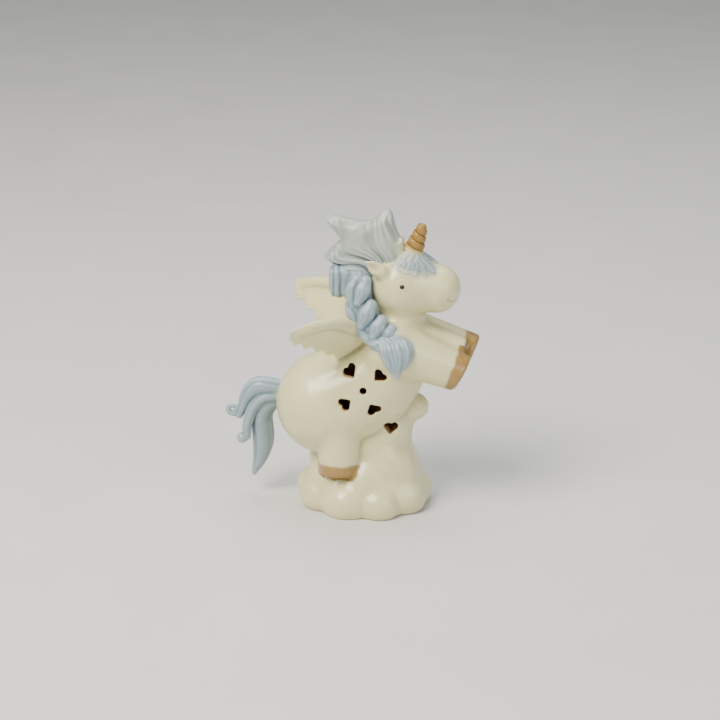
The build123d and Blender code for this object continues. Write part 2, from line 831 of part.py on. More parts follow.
def battery_door():
    """The door: a thin plate with its hinge barrel, latch tongue and grip ribs."""
    plate_bottom = flange_lift
    plate_top = flange_lift + door_thickness
    plate_back = hinge_forward + hinge_radius
    form = block(plate_back, door_front, door_half_width, plate_bottom, plate_top)
    form = fillet(form.edges().filter_by(Axis.Z).sort_by(Axis.X)[-2:], finger_notch_radius / 2)
    for sign in (-1, 1):
        y = sign * (latch_half_width + latch_slit_width / 2)
        slit = Box(2 * latch_slit_length, latch_slit_width, 4 * door_thickness)
        form = form - Pos(door_front, y, plate_bottom) * slit
    plane = Plane(origin=(hinge_forward, 0, hinge_height), z_dir=-side_way)
    arm = block(hinge_forward, plate_back + hinge_radius, knuckle_half_length, 0, 2 * door_thickness)
    arm = arm & block(
        hinge_forward, door_front, door_half_width, hinge_height - hinge_radius, plate_top
    )
    form = form + arm + plane * Cylinder(hinge_radius, 2 * knuckle_half_length)
    return form - plane * Cylinder(hinge_pin_radius + running_gap, 2 * door_half_width)


def hinge_pin():
    """The plain steel pin, pushed in from the right rim."""
    plane = Plane(origin=(hinge_forward, 0, hinge_height), z_dir=-side_way)
    return plane * Cylinder(hinge_pin_radius, 2 * hinge_pin_end)


def switch_case():
    """The small box over the slot, open below for the slider."""
    half_x, half_y = switch_case_width / 2, switch_case_length / 2
    top = floor_top + switch_case_height
    form = block(switch_forward - half_x, switch_forward + half_x, half_y, floor_top, top)
    hollow = block(
        switch_forward - half_x + switch_wall,
        switch_forward + half_x - switch_wall,
        half_y - switch_wall,
        floor_top - overrun,
        top - switch_wall,
    )
    return form - hollow


def switch_slider():
    """The slider: a neck through the flange with a ribbed foot for the fingertip."""
    top = floor_top + switch_case_height - switch_wall - free_gap
    half = slider_width / 2
    form = block(switch_forward - half, switch_forward + half, slider_length / 2, slider_foot, top)
    rib = slider_length / 8
    for i in range(-1, 2):
        at = Pos(switch_forward, i * slider_length / 3, slider_foot)
        form = form - at * Box(2 * slider_width, rib, rib)
    return form


parts = {}
trunk_form = trunk(0)
trunk_hollow = trunk(cast_wall)
head_solid = head_form(0)
port = upright_cylinder(light_port_radius, 0, rump_at.Z)
cloud_solid = cloud()
parts["trunk"] = biggest(trunk_form - trunk_hollow - head_solid - heart_ring() - port)
parts["cloud_base"] = cast_cloud_base(cloud_solid, trunk_form)
parts["head"] = biggest(head_solid - head_form(cast_wall) - trunk_hollow)

hind_root = rump_at + Vector(hind_leg_forward, 0, -hind_leg_sink)
foreleg_rows = {
    "right": (right_foreleg_length, right_foreleg_drop_angle),
    "left": (left_foreleg_length, left_foreleg_drop_angle),
}
fore_root = head_at + Vector(-foreleg_root_behind, 0, -foreleg_root_drop)
for sign, side in ((-1, "right"), (1, "left")):
    out = Vector(0, sign, 0)
    down = -up_way * cos(radians(hind_leg_splay_angle)) + out * sin(radians(hind_leg_splay_angle))
    shank, hoof = leg(
        hind_root + out * hind_leg_side, down, hind_leg_length, hind_leg_root_radius, hind_leg_radius
    )
    parts[f"{side}_hind_leg"] = biggest(shank - trunk_form - cloud_solid)
    parts[f"{side}_hind_hoof"] = biggest(hoof - cloud_solid)
    length, drop_angle = foreleg_rows[side]
    shank, hoof = leg(
        fore_root + out * foreleg_side,
        lean(-drop_angle),
        length,
        foreleg_root_radius,
        foreleg_radius,
    )
    middle_side = block(-mane_reach, 2 * head_length, 2 * rump_radius, 0, 2 * head_at.Z)
    own_side = Pos(0, sign * 2 * rump_radius, 0) * middle_side
    parts[f"{side}_foreleg"] = biggest((shank - trunk_form) & own_side)
    parts[f"{side}_fore_hoof"] = biggest(hoof & own_side)
    parts[f"{side}_ear"] = biggest(ear_form(sign) - head_solid)
    parts[f"{side}_eye"] = biggest(eye_form(sign) - head_solid)

tail = tail_form() - trunk_form
parts["tail"] = biggest(tail)
forelock = fused([
    hair(
        forelock_shares,
        head_at,
        forelock_reach,
        forelock_side,
        forelock_rise,
        forelock_half_width,
        forelock_half_depth,
        sign,
    )
    for sign in (-1, 1)
])
horn = horn_form() - head_solid
parts["horn"] = biggest(horn)
parts["forelock"] = biggest(forelock - head_solid - horn)
crest = crest_form() + hair(
    far_lock_shares, head_at, mane_reach, mane_side, mane_rise, mane_half_width, mane_half_depth
)
back_lock = hair(
    [back_lock_shares], head_at, mane_reach, mane_side, mane_rise, mane_half_width, mane_half_depth
)
ears = parts["right_ear"] + parts["left_ear"]
crest = crest - head_solid - trunk_form - parts["forelock"] - horn - ears
parts["mane_crest"] = biggest(crest)
parts["mane_back_lock"] = biggest(back_lock - parts["mane_crest"] - head_solid - trunk_form)
braid = braid_form() - head_solid - trunk_form - parts["mane_crest"] - parts["mane_back_lock"]
braid = braid - parts["right_foreleg"] - parts["right_ear"]
parts["braid"] = biggest(braid)
for sign, side, back in ((-1, "right", right_wing_span_back), (1, "left", left_wing_span_back)):
    wing = wing_form(sign, back) - trunk_form - parts["braid"] - parts["mane_crest"]
    parts[f"{side}_wing"] = biggest(wing)

parts["light_housing"] = light_housing()
parts["housing_cover"] = housing_cover()
ring_top = recess_depth - fit_gap + grip_ring_height
ring = upright_cylinder(bore_radius - running_gap, recess_depth - fit_gap, ring_top)
parts["grip_ring"] = ring - upright_cylinder(housing_radius, 0, housing_top)
parts["circuit_board"] = circuit_board()
parts["led_lens"] = led_lens()
parts["led_leads"] = led_leads()
parts["coin_cell"] = coin_cell()
contact_reach = cell_radius / 2
parts["upper_contact"] = leaf(
    cell_bottom + cell_height, board_height, cell_x - contact_reach, cell_x + contact_reach
)
parts["lower_contact"] = leaf(
    flange_lift + door_thickness, cell_bottom, cell_x - contact_reach, cell_x + contact_reach
)
parts["battery_door"] = battery_door()
parts["hinge_pin"] = hinge_pin()
parts["switch_case"] = switch_case()
parts["switch_slider"] = switch_slider()
for sign, side in ((-1, "right"), (1, "left")):
    parts[f"{side}_cover_screw"] = cover_screw(sign)

os.makedirs("parts", exist_ok=True)
for name, shape in parts.items():
    export_step(Pos(base_shift, 0, 0) * shape, f"parts/{name}.step")
    print(name, len(shape.solids()), round(shape.volume, 1), shape.is_valid)
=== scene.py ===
import json
from functools import partial, reduce
from math import cos, pi, radians, sin

import bpy
import numpy as np
from bpy.props import FloatProperty, FloatVectorProperty, PointerProperty
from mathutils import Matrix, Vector
from mathutils.kdtree import KDTree

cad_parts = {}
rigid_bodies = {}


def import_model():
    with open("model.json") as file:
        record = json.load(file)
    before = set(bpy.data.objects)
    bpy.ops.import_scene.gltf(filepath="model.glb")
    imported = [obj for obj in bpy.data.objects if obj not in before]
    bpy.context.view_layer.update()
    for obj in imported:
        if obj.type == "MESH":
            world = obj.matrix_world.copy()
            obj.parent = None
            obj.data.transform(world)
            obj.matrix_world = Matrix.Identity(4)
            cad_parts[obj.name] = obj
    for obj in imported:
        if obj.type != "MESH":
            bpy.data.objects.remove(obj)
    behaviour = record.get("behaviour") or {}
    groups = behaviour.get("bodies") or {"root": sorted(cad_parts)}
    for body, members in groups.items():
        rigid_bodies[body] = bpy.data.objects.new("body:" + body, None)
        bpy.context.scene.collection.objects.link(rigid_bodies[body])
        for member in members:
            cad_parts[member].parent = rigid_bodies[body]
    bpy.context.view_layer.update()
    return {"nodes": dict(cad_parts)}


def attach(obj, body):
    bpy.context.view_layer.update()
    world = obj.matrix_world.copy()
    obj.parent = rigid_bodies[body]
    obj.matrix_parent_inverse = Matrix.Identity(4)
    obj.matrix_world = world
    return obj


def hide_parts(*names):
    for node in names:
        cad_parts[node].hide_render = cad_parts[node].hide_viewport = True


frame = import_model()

bl_info = {
    "name": "Glazed unicorn night light",
    "version": (1, 0, 0),
    "blender": (4, 5, 0),
    "location": "View3D > Sidebar > Night light",
    "description": "Casts, glazes and paints a pierced porcelain unicorn on its cloud",
    "category": "Object",
}

MM = 0.001
FIGURE = "figure"

# The sculpt is worked in millimetres from the middle of the cloud's foot, and stands
# this far forward in the model's frame, where the origin is the middle of the whole box.
BASE_SHIFT = 9.0


def hex_colour(text):
    """An sRGB hex colour as the linear red, green, blue and alpha that the nodes take."""
    channels = [int(text[i:i + 2], 16) / 255 for i in (1, 3, 5)]
    linear = [c / 12.92 if c <= 0.04045 else ((c + 0.055) / 1.055) ** 2.4 for c in channels]
    return (*linear, 1.0)


def length(name, description, millimetres):
    """A length property whose default is given in millimetres."""
    return FloatProperty(
        name=name, description=description, default=millimetres * MM, unit="LENGTH", precision=5
    )


def colour(name, description, text):
    """A colour property whose default is an sRGB hex colour."""
    return FloatVectorProperty(
        name=name, description=description, default=hex_colour(text), size=4, subtype="COLOR"
    )


class SculptSizes(bpy.types.PropertyGroup):
    """Sizes of the porcelain that a maker would change."""

    cast_wall: length("Cast wall", "Thickness of the slip-cast wall", 3.2)
    body_grain: length("Body grain", "Spacing of the body's sculpting grid", 0.55)
    hair_grain: length("Hair grain", "Spacing of the hair's sculpting grid", 0.36)
    heart_width: length("Heart width", "Width of each pierced heart", 6.8)
    heart_ring: length("Heart ring", "From the round hole to the hearts' middles", 9.5)
    light_hole: length("Light hole", "Radius of the round hole", 1.7)
    eye_radius: length("Eye radius", "Radius of the black glaze dot", 1.2)
    horn_base: length("Horn base", "Radius of the horn at the brow", 4.6)
    horn_tip: length("Horn tip", "Radius of the horn near its tip", 2.1)
    horn_turns: FloatProperty(
        name="Horn turns", description="Turns of the horn's spiral", default=3.6
    )
    horn_length: length("Horn length", "Length of the horn that shows", 14.8)
    strand_depth: FloatProperty(
        name="Strand depth", description="Depth of the hair's grooves, as a share of the lock",
        default=0.16,
    )


class GlazeColours(bpy.types.PropertyGroup):
    """Colours of the glazes and of the plug-in light."""

    ivory: colour("Ivory glaze", "Clear glaze over ivory slip", "#E0DBA8")
    # Pooled clear glaze and painted shade in creases
    ivory_pool_shade: colour("Pooled ivory", "Where the clear glaze lies thick in a crease", "#A29868")
    blue: colour("Powder blue", "Airbrushed blue on the hair", "#8499A2")
    # Pooled blue and painted shade in the grooves
    blue_pool_shade: colour("Pooled blue", "Blue that gathers in the grooves", "#5F767F")
    # Blue worn thin, with a painted highlight, on the ridges
    blue_rub_highlight: colour("Rubbed blue", "Blue worn thin on the ridges", "#A6B6BB")
    # Painted shade: the unlit bare inner side is given a dark tan
    inside: colour("Inside", "Unlit bare clay seen through the pierced hearts", "#B98A55")
    gilt: colour("Gilt", "Brushed ochre gold on the horn and hooves", "#9C7834")
    # Pooled gilt and painted shade in the grooves
    gilt_pool_shade: colour("Pooled gilt", "Darker gold in the grooves", "#6A4A16")
    eye: colour("Eye glaze", "Black glaze dot", "#14110E")
    housing: colour("Housing", "Moulded plastic of the plug-in light", "#DAD9D4")
    steel: colour("Plated steel", "Cell, leads, screws, pin and switch case", "#B9BAB8")
    brass: colour("Brass", "Stamped battery contacts", "#B99A55")
    silicone: colour("Silicone", "Soft grip ring", "#C9C8C2")
    laminate: colour("Laminate", "Solder mask on the circuit board", "#1F5B34")
    acetal: colour("Acetal", "Switch slider", "#1D1D1E")
    epoxy: colour("Epoxy", "Cast lens of the lamp", "#EDE6C8")
    floor: colour("Floor", "Pale plain floor", "#D9D9D6")


# The studio: floor and lamps in metres and watts, camera in degrees and millimetres
FLOOR_REACH = 3.0
ROOM_TINT, ROOM_LIGHT = "#DEE2E6", 0.42
LIGHT_AIM = 0.06
LIGHTS = (
    ("key_softbox", (-0.45, -0.55, 0.95), 0.6, 22.0, "#FFF6EA"),
    ("fill_softbox", (0.8, -0.6, 0.5), 0.6, 4.0, "#F2F5FF"),
    ("top_softbox", (0.05, 0.3, 1.0), 0.6, 6.0, "#FFFFFF"),
)
CAMERA_TURN, CAMERA_DROP, CAMERA_REACH = 7.0, 20.0, 1131.0
CAMERA_AIM = (-2.9, 72.8)
CAMERA_LENS, CAMERA_FILM = 116.6, 36.0



# Fields: each is a signed distance in millimetres, negative inside the clay

# Where the eight corners of a grid cell lie
CORNERS = np.array([(i & 1, i >> 1 & 1, i >> 2 & 1) for i in range(8)])
FAR = 1e3


def soft_min(a, b, blend):
    """The union of two fields with their meeting line filled over by a blend radius."""
    if blend <= 0:
        return np.minimum(a, b)
    share = np.clip(0.5 + 0.5 * (b - a) / blend, 0, 1)
    return b + (a - b) * share - blend * share * (1 - share)


def soft_cut(a, b, blend):
    """Field a with field b cut away, the cut's edge rounded as glaze rounds it."""
    return -soft_min(-a, b, blend)


def slope_of(value, points, step):
    """Unit directions in which a function of points grows, from small steps each way."""
    slope = np.stack([value(points + way) - value(points - way) for way in step * np.eye(3)],
                     axis=1)
    return slope / np.maximum(np.linalg.norm(slope, axis=1), 1e-9)[:, None]


def fade(values, start, reach):
    """One up to a start, then down to nothing over a reach."""
    return np.clip(1 - (values - start) / reach, 0, 1)


class Clay:
    """A box of clay sampled on a grid, to which forms are added and cut away."""

    def __init__(self, low, high, grain):
        self.low = np.array(low, float)
        self.grain = grain
        counts = [int(np.ceil((h - l) / grain)) + 1 for l, h in zip(low, high)]
        self.axes = [
            (self.low[i] + grain * np.arange(counts[i])).astype(np.float32) for i in range(3)
        ]
        self.field = np.full(counts, FAR, np.float32)
        self.nearest = np.full(counts, FAR, np.float32)
        self.label = np.zeros(counts, np.uint8)

    def part(self, low, high):
        """The slices and the open grid of the part of the clay between two corners."""
        slices = []
        for i in range(3):
            start = int(np.searchsorted(self.axes[i], low[i]))
            stop = int(np.searchsorted(self.axes[i], high[i])) + 1
            slices.append(slice(max(start - 1, 0), min(stop, len(self.axes[i]))))
        x, y, z = (self.axes[i][slices[i]] for i in range(3))
        return tuple(slices), x[:, None, None], y[None, :, None], z[None, None, :]

    def add(self, form, low, high, blend, label=0):
        """Adds a form, given as a function of x, y and z, inside a box."""
        where, x, y, z = self.part(low, high)
        distance = form(x, y, z).astype(np.float32)
        self.field[where] = soft_min(self.field[where], distance, blend)
        closer = distance < self.nearest[where]
        self.label[where][closer] = label
        self.nearest[where] = np.minimum(self.nearest[where], distance)

    def cut(self, form, low, high, blend):
        """Cuts a form away inside a box."""
        where, x, y, z = self.part(low, high)
        self.field[where] = soft_cut(self.field[where], form(x, y, z).astype(np.float32), blend)

    def sample(self, values, points):
        """Values on the grid read between its points."""
        at = (points - self.low) / self.grain
        last = np.array(values.shape) - 2
        base = np.clip(np.floor(at).astype(int), 0, last)
        f = np.clip(at - base, 0, 1)
        total = 0
        for step in CORNERS:
            weight = np.prod(np.where(step, f, 1 - f), axis=1)
            total = total + weight * values[tuple((base + step).T)]
        return total

    def skin(self):
        """The surface where the field is zero: points, outward four-sided faces, normals."""
        inside = self.field < 0
        shape = np.array(self.field.shape) - 1
        count = np.zeros(shape, np.uint8)
        for corner in CORNERS:
            count += inside[tuple(slice(c, n + c) for c, n in zip(corner, shape))]
        cells = np.argwhere((count > 0) & (count < 8))
        order = np.full(shape, -1, np.int32)
        order[tuple(cells.T)] = np.arange(len(cells))
        total = np.zeros((len(cells), 3))
        hits = np.zeros(len(cells))
        values = [self.field[tuple((cells + corner).T)] for corner in CORNERS]
        # Each point is the middle of the places where its cell's edges cross the surface
        for i, j in ((i, i | 1 << axis) for i in range(8) for axis in range(3)):
            if j == i:
                continue
            crosses = (values[i] < 0) != (values[j] < 0)
            share = values[i] / np.where(crosses, values[i] - values[j], 1)
            place = CORNERS[i] + share[:, None] * (CORNERS[j] - CORNERS[i])
            total += np.where(crosses[:, None], place, 0)
            hits += crosses
        points = self.low + (cells + total / hits[:, None]) * self.grain
        faces = []
        for axis in range(3):
            sides = [i for i in range(3) if i != axis]
            here, ahead = [slice(None)] * 3, [slice(None)] * 3
            here[axis], ahead[axis] = slice(0, -1), slice(1, None)
            at = np.argwhere(inside[tuple(here)] != inside[tuple(ahead)])
            at = at[np.all((at[:, sides] > 0) & (at[:, sides] < shape[sides]), axis=1)]
            ring = []
            for step in ((0, 0), (-1, 0), (-1, -1), (0, -1)):
                cell = at.copy()
                cell[:, sides] += step
                ring.append(order[tuple(cell.T)])
            quad = np.stack(ring, axis=1)
            outward = inside[tuple(at.T)] != (axis == 1)
            quad[~outward] = quad[~outward][:, ::-1]
            faces.append(quad)
        normals = slope_of(lambda at: self.sample(self.field, at), points, self.grain * 0.75)
        return points, np.concatenate(faces), normals


def ball(at, radius):
    """A ball as a form."""
    return lambda x, y, z: np.sqrt(
        (x - at[0]) ** 2 + (y - at[1]) ** 2 + (z - at[2]) ** 2
    ) - radius


def egg(at, radii):
    """An egg with three radii as a form."""
    def form(x, y, z):
        size = np.sqrt(
            ((x - at[0]) / radii[0]) ** 2
            + ((y - at[1]) / radii[1]) ** 2
            + ((z - at[2]) / radii[2]) ** 2
        )
        return (size - 1) * min(radii)

    return form


def post(radius, top):
    """An upright round post in the middle of the foot, up to a level, as a form."""
    return lambda x, y, z: np.maximum(np.sqrt(x * x + y * y) - radius, z - top)


def drilled(at, radius):
    """A round hole straight across the figure, as a form."""
    return lambda x, y, z: np.sqrt((x - at[0]) ** 2 + (z - at[2]) ** 2) - radius


def limb(start, end, start_radius, end_radius, flat_end=0.0, tilt=0.0):
    """A tapering round limb as a form, with a tilted flat end and round rim where asked."""
    start, end = np.array(start, float), np.array(end, float)
    reach = np.linalg.norm(end - start)
    way = (end - start) / reach
    turn = radians(tilt)
    facing = np.array((way[0] * cos(turn) + way[2] * sin(turn), way[1],
                       way[2] * cos(turn) - way[0] * sin(turn)))

    def form(x, y, z):
        px, py, pz = x - start[0], y - start[1], z - start[2]
        along = px * way[0] + py * way[1] + pz * way[2]
        off = np.sqrt(np.maximum(px * px + py * py + pz * pz - along * along, 0))
        share = np.clip(along / reach, 0, 1)
        radius = start_radius + (end_radius - start_radius) * share
        if not flat_end:
            beyond = along - share * reach
            return np.sqrt(off * off + beyond * beyond) - radius
        over = np.minimum(along, 0)
        side = np.sqrt(off * off + over * over) - radius + flat_end
        cap = (x - end[0]) * facing[0] + (y - end[1]) * facing[1] + (z - end[2]) * facing[2]
        cap = cap + flat_end
        outer = np.sqrt(np.maximum(side, 0) ** 2 + np.maximum(cap, 0) ** 2)
        return np.minimum(np.maximum(side, cap), 0) + outer - flat_end

    return form


def bounds_of(points, radius):
    """The corners of the box round some points, grown by a radius."""
    points = np.array(points, float)
    return points.min(axis=0) - radius, points.max(axis=0) + radius


def smooth_path(points, count):
    """A smooth line through points, evenly sampled."""
    points = np.array(points, float)
    padded = np.vstack([2 * points[0] - points[1], points, 2 * points[-1] - points[-2]])
    spans = len(points) - 1
    rows = []
    for t in np.linspace(0, spans, count):
        i = min(int(t), spans - 1)
        f = t - i
        a, b, c, d = padded[i:i + 4]
        rows.append(0.5 * (
            2 * b + (c - a) * f + (2 * a - 5 * b + 4 * c - d) * f ** 2
            + (3 * b - a - 3 * c + d) * f ** 3
        ))
    return np.array(rows)


def lock(rows, across, strands=0, groove=0.0, samples=18):
    """A tapering lock: rows are x, y, z, half width and half thickness, in millimetres."""
    path = smooth_path([row[:5] for row in rows], samples)
    centres, widths, depths = path[:, :3], path[:, 3], path[:, 4]
    ways = np.gradient(centres, axis=0)
    ways /= np.linalg.norm(ways, axis=1)[:, None]
    across = np.array(across, float)
    flats = across - ways * (ways @ across)[:, None]
    flats /= np.linalg.norm(flats, axis=1)[:, None]
    edges = np.cross(ways, flats)

    def form(x, y, z):
        shape = np.broadcast(x, y, z).shape
        points = np.stack([np.broadcast_to(v, shape).ravel() for v in (x, y, z)], axis=1)
        best = np.full(len(points), 1e9, np.float32)
        place = np.zeros(len(points), np.float32)
        for i in range(samples - 1):
            span = centres[i + 1] - centres[i]
            t = np.clip((points - centres[i]) @ span / (span @ span), 0, 1)
            gap = points - centres[i] - t[:, None] * span
            size = np.einsum("ij,ij->i", gap, gap)
            closer = size < best
            best[closer] = size[closer]
            place[closer] = i + t[closer]
        low = np.minimum(place.astype(int), samples - 2)
        f = (place - low)[:, None]

        def between(values):
            share = f[:, 0] if values.ndim == 1 else f
            return values[low] * (1 - share) + values[low + 1] * share

        gap = points - between(centres)
        width, depth = between(widths), between(depths)
        small = np.minimum(width, depth)
        a = np.einsum("ij,ij->i", gap, between(flats)) / width
        b = np.einsum("ij,ij->i", gap, between(edges)) / depth
        c = np.einsum("ij,ij->i", gap, between(ways)) / small
        size = np.sqrt(a * a + b * b + c * c)
        target = 1.0
        if strands:
            # The grooves wander a little round and along the lock, and fade out inside it
            turn = np.arctan2(b, a)
            fade = np.clip(size * 2 - 0.6, 0, 1)
            wander = turn + 0.2 * np.sin(3 * turn + 1.1) + 0.08 * np.sin(0.7 * place)
            target = 1 - groove * fade * (0.5 + 0.5 * np.cos(strands * wander)) ** 2
        return ((size - target) * small).reshape(shape)

    return form


def add_lock(clay, rows, across, blend, strands=0, groove=0.0, label=0):
    """Adds one lock to the clay, in the box that it needs."""
    low, high = bounds_of([row[:3] for row in rows], max(max(row[3:5]) for row in rows) + 1.5)
    clay.add(lock(rows, across, strands, groove), low, high, blend, label)


def sided(rows, side):
    """Rows given for the left side, carried over to the right where side is -1."""
    return [(row[0], side * row[1], *row[2:]) for row in rows]


def heart_field(width, at, turn):
    """A heart cut straight across the figure, its tip turned away from the given direction."""
    lobe_x, lobe_radius, tip_z, tip_radius = (share * width for share in HEART_SHARES)
    c, s = cos(radians(turn)), sin(radians(turn))
    run = np.array((-lobe_x, tip_z))

    def form(x, y, z):
        px, pz = x - at[0], z - at[2]
        u = np.abs(px * c + pz * s) - lobe_x
        v = -px * s + pz * c + 0.5 * tip_z
        share = np.clip((u * run[0] + v * run[1]) / (run @ run), 0, 1)
        gap = np.hypot(u - share * run[0], v - share * run[1])
        return gap - lobe_radius - (tip_radius - lobe_radius) * share

    return form


# The figure, in millimetres from the middle of the cloud's foot

# Corners of the boxes of clay: the ivory cast, then each piece of hair
CAST_BOX = ((-46, -43, -2), (58, 43, 131))
HAIR_BOXES = {
    "mane_crest": ((-24, -13, 84), (24, 18, 153)),
    "mane_back_lock": ((-24, -15, 98), (6, 8, 128)),
    "forelock": ((7, -20, 112), (41, 20, 136)),
    "braid": ((-14, -29, 68), (26, -2, 126)),
    "tail": ((-74, -10, 5), (-36, 10, 68)),
}
MUZZLE = (33.9, 0.0, 110.9)
MUZZLE_RADII = (13.6, 11.7)
RUMP = (-18.5, 0.0, 50.4)
RUMP_RADIUS = 25.4
HEAD = (16.8, 0.0, 112.4)
HEAD_RADIUS = 15.9
EYE = (18.9, 15.2, 115.8)
# The eye's sculpting grid: spacing and half width; and how flat the dot is
EYE_GRAIN, EYE_BOX, EYE_FLATNESS = 0.12, 2, 0.75
# The body's middle line from the rump to the neck: place and radius
SPINE = ((*RUMP, RUMP_RADIUS), (-12, 0, 53.4, 24.6), (-4, 0, 57.4, 23.6), (3.6, 0, 62.8, 22.0),
         (9.0, 0, 69.4, 20.0), (12.8, 0, 76.6, 17.8), (15.0, 0, 85, 15.2), (16.0, 0, 95, 12.6),
         (16.2, 0, 105, 12.0))
SPINE_STEPS = 22
# The hollow behind the breast, measured to the outside of the wall: place and radius
BREAST_ROOM = ((-12, 0, 53, 24.2), (3, 0, 60.5, 23.2), (13.0, 0, 76, 18.6))
# The chest between the forelegs, from the breast to just short of the hooves
CHEST = ((17.0, 0, 84.6, 12.8), (45.4, 0, 76.6, 9.7))
# Each foreleg's side, drop in degrees and reach
FORELEGS = ((-1, "right", 21.0, 34.6), (1, "left", 14.5, 37.2))
FORELEG_ROOT = (15.3, 12.2, 84.4)
FORELEG_RADII = (12.6, 9.2)
FORELEG_INWARD = 1.4
HIND_LEG = ((-11.6, 12.0, 48.0), (-11.2, 15.0, 19.0))
HIND_LEG_RADII = (11.4, 9.5)
HOOF_TILT = 7.0
HOOF_RIM = 1.8
# The band of gold on each hoof: how far up, how far the brush wavers, how soft its edge
GILT_BAND, GILT_WAVER, GILT_EDGE, GILT_COVER = 6.6, 0.22, 1.2, 0.94
# Where along a leg's end the gold may lie, and how far outside the leg
HOOF_ZONE, HOOF_MARGIN = (-9, 3), 3.4
# The left ear's lock, and the bowl scooped out of it: middle, radii and the cutter's reach
EAR_LOCK = ((10.6, 10.4, 119.4, 3.2, 2.8), (7.6, 12.8, 122.8, 3.9, 2.4),
            (4.6, 14.2, 125.4, 3.0, 1.9), (2.0, 15.2, 127.2, 0.8, 0.8))
EAR_ACROSS = (0.6, 0.3, 0.8)
EAR_BOWL = ((6.4, 17.4, 124.8), (5.4, 3.4, 3.2), 7)
HORN_ROOT = (22.5, 0.0, 128.9)
HORN_LEAN = 20.0
# The bead wound up the horn: its half height as a share of a turn's, and how far it is
# pressed flat against the core
BEAD_SHARE, BEAD_FLATNESS = 0.5, 0.36
HORN_SIDES, TIP_SIDES = 64, 48
# The painted shade of the horn's creases: how near the core, how strong, and how rubbed the beads
# are, as a painted highlight
CREASE_REACH, CREASE_POOL_SHADE, RIDGE_RUB_HIGHLIGHT = 0.5, 0.15, 0.03
# Where the blue fades to ivory: round the horn's foot and at the tail's root
HORN_FOOT = (20.0, 0.0, 131.0)
TAIL_ROOT = (-41.5, 0.0, 54.0)
# Where each fade starts and how far it reaches; the crest pales from a height upwards
HORN_FADE, TAIL_FADE, FORELOCK_FADE = (3.5, 7.0), (2.0, 4.0), 0.9
CREST_PALE = (118.0, 14.0, 0.28)
COLLAR_FADE, COLLAR_COVER = (1.0, 1.8), 0.85
# The blue overspray round the forelock and the braid: reach, strength and how it falls off
MIST_REACH, MIST_COVER, MIST_FALL = 2.6, 0.8, 1.5
# How deep in the solid cast the bare inner side, painted dark tan as its shade, starts, and over
# what depth it fades in
INSIDE_SHADE_FROM, INSIDE_SHADE_OVER = 0.5, 1.2
# Shares of the fine and the broad hollows that darken the wings and the body with pooled glaze and
# painted shade
WING_POOL_SHADE, BODY_POOL_SHADE = (1.3, 0.3), (0.4, 0.1)
# How strongly a hollow darkens the glaze on the crest and on the other hair, as pooled blue and
# painted shade
CREST_POOL_SHADE, HAIR_POOL_SHADE = 1.5, 0.95
# Lines carved in each side of the face: depth, half width, then places along and up
FACE_LINES = (
    (0.12, 0.5, ((15.1, 117.5), (17.0, 119.2), (19.3, 120.0), (21.8, 119.3), (23.5, 117.5))),
    (0.10, 0.5, ((16.3, 115.5), (18.1, 113.9), (20.2, 113.7), (22.4, 115.0))),
    (0.30, 0.4, ((40.1, 108.7), (41.1, 107.5), (42.7, 107.0), (44.3, 107.7))),
)
# A line is laid by stepping out from a start until it meets the head; the faces within a margin are
# split, and the glaze pools in it with painted shade by a share of its depth
FACE_START, FACE_LINE_STEPS, FACE_TRIES, FACE_MARGIN, FACE_POOL_SHADE = 9.0, 25, 12, 2.2, 0.5
HEART_MIDDLE = (1.2, 0.0, 64.9)
HEART_ANGLES = (43.0, 130.0, 217.0, 298.0)
CLOUD_HEART = (13.4, 0.0, 42.0)
CLOUD_HEART_TURN = -6.0
# A heart's lobe offset, lobe radius, tip offset and tip radius as shares of its width
HEART_SHARES = (0.23, 0.275, -0.52, 0.05)
# The recess and the bore for the plug-in light: radius and height
LIGHT_SEAT = ((23.6, 3.0), (19.0, 10.0))
FLOOR_OF_ROOM = 6.5
# How far the cutters reach round and into the wall, and round the light's seat
OPENING_REACH, OPENING_DEPTH, SEAT_REACH = 6, 30, 26
SIDES = ((-1, "right"), (1, "left"))
SIDEWAYS, FORWARDS = (0, 1, 0), (1, 0, 0)
LABELS = ("trunk", "cloud_base", "head", "right_hind_leg", "left_hind_leg", "right_foreleg",
          "left_foreleg", "right_ear", "left_ear", "right_wing", "left_wing",
          "right_hind_hoof", "left_hind_hoof", "right_fore_hoof", "left_fore_hoof")
INDEX = {name: i for i, name in enumerate(LABELS)}

# The cloud's foot, bank and column: middle and radii
CLOUD_EGGS = (
    ((0, 0, 5), (29.0, 26.0, 11.5)),
    ((-1.5, 0, 19), (22.0, 17.5, 20.0)),
    ((3.5, 0, 36), (15.5, 11.5, 20.0)),
)
FOOT_LOBE_COUNT = 9
FOOT_LOBE_RADIUS, FOOT_LOBE_HEIGHT = 10.0, 5.4
# How unevenly the lobes are pressed: radius and height of the foot's, height of the bank's
FOOT_LOBE_SWELL, FOOT_LOBE_LIFT, BANK_LIFT = 1.0, 0.8, 1.4
# How far the foot's lobes reach to the front, to the back and to the sides
FOOT_FRONT, FOOT_BACK, FOOT_SIDE = 33.0, 34.6, 29.6
# The second ring of lobes: half length, half width, height and radius
BANK_RING = (18.5, 14.0, 12.0, 8.4)
FOOT_LEVEL = 10.0
CLIMBING_LOBES = (
    (13.0, 5.4, 41.0, 7.6), (4.4, 7.8, 34.0, 7.2), (11.0, 9.4, 25.5, 7.6),
    (-15.5, 8.0, 20.0, 9.4), (17.0, 6.5, 19.5, 8.4), (2.0, 13.5, 17.0, 7.4),
)
MIDDLE_LOBES = ((24.2, 0.0, 50.1, 6.6), (11.5, 0.0, 38.0, 10.0), (-17.0, 0.0, 26.0, 10.0),
                (13.5, 0.0, 26.0, 8.4))
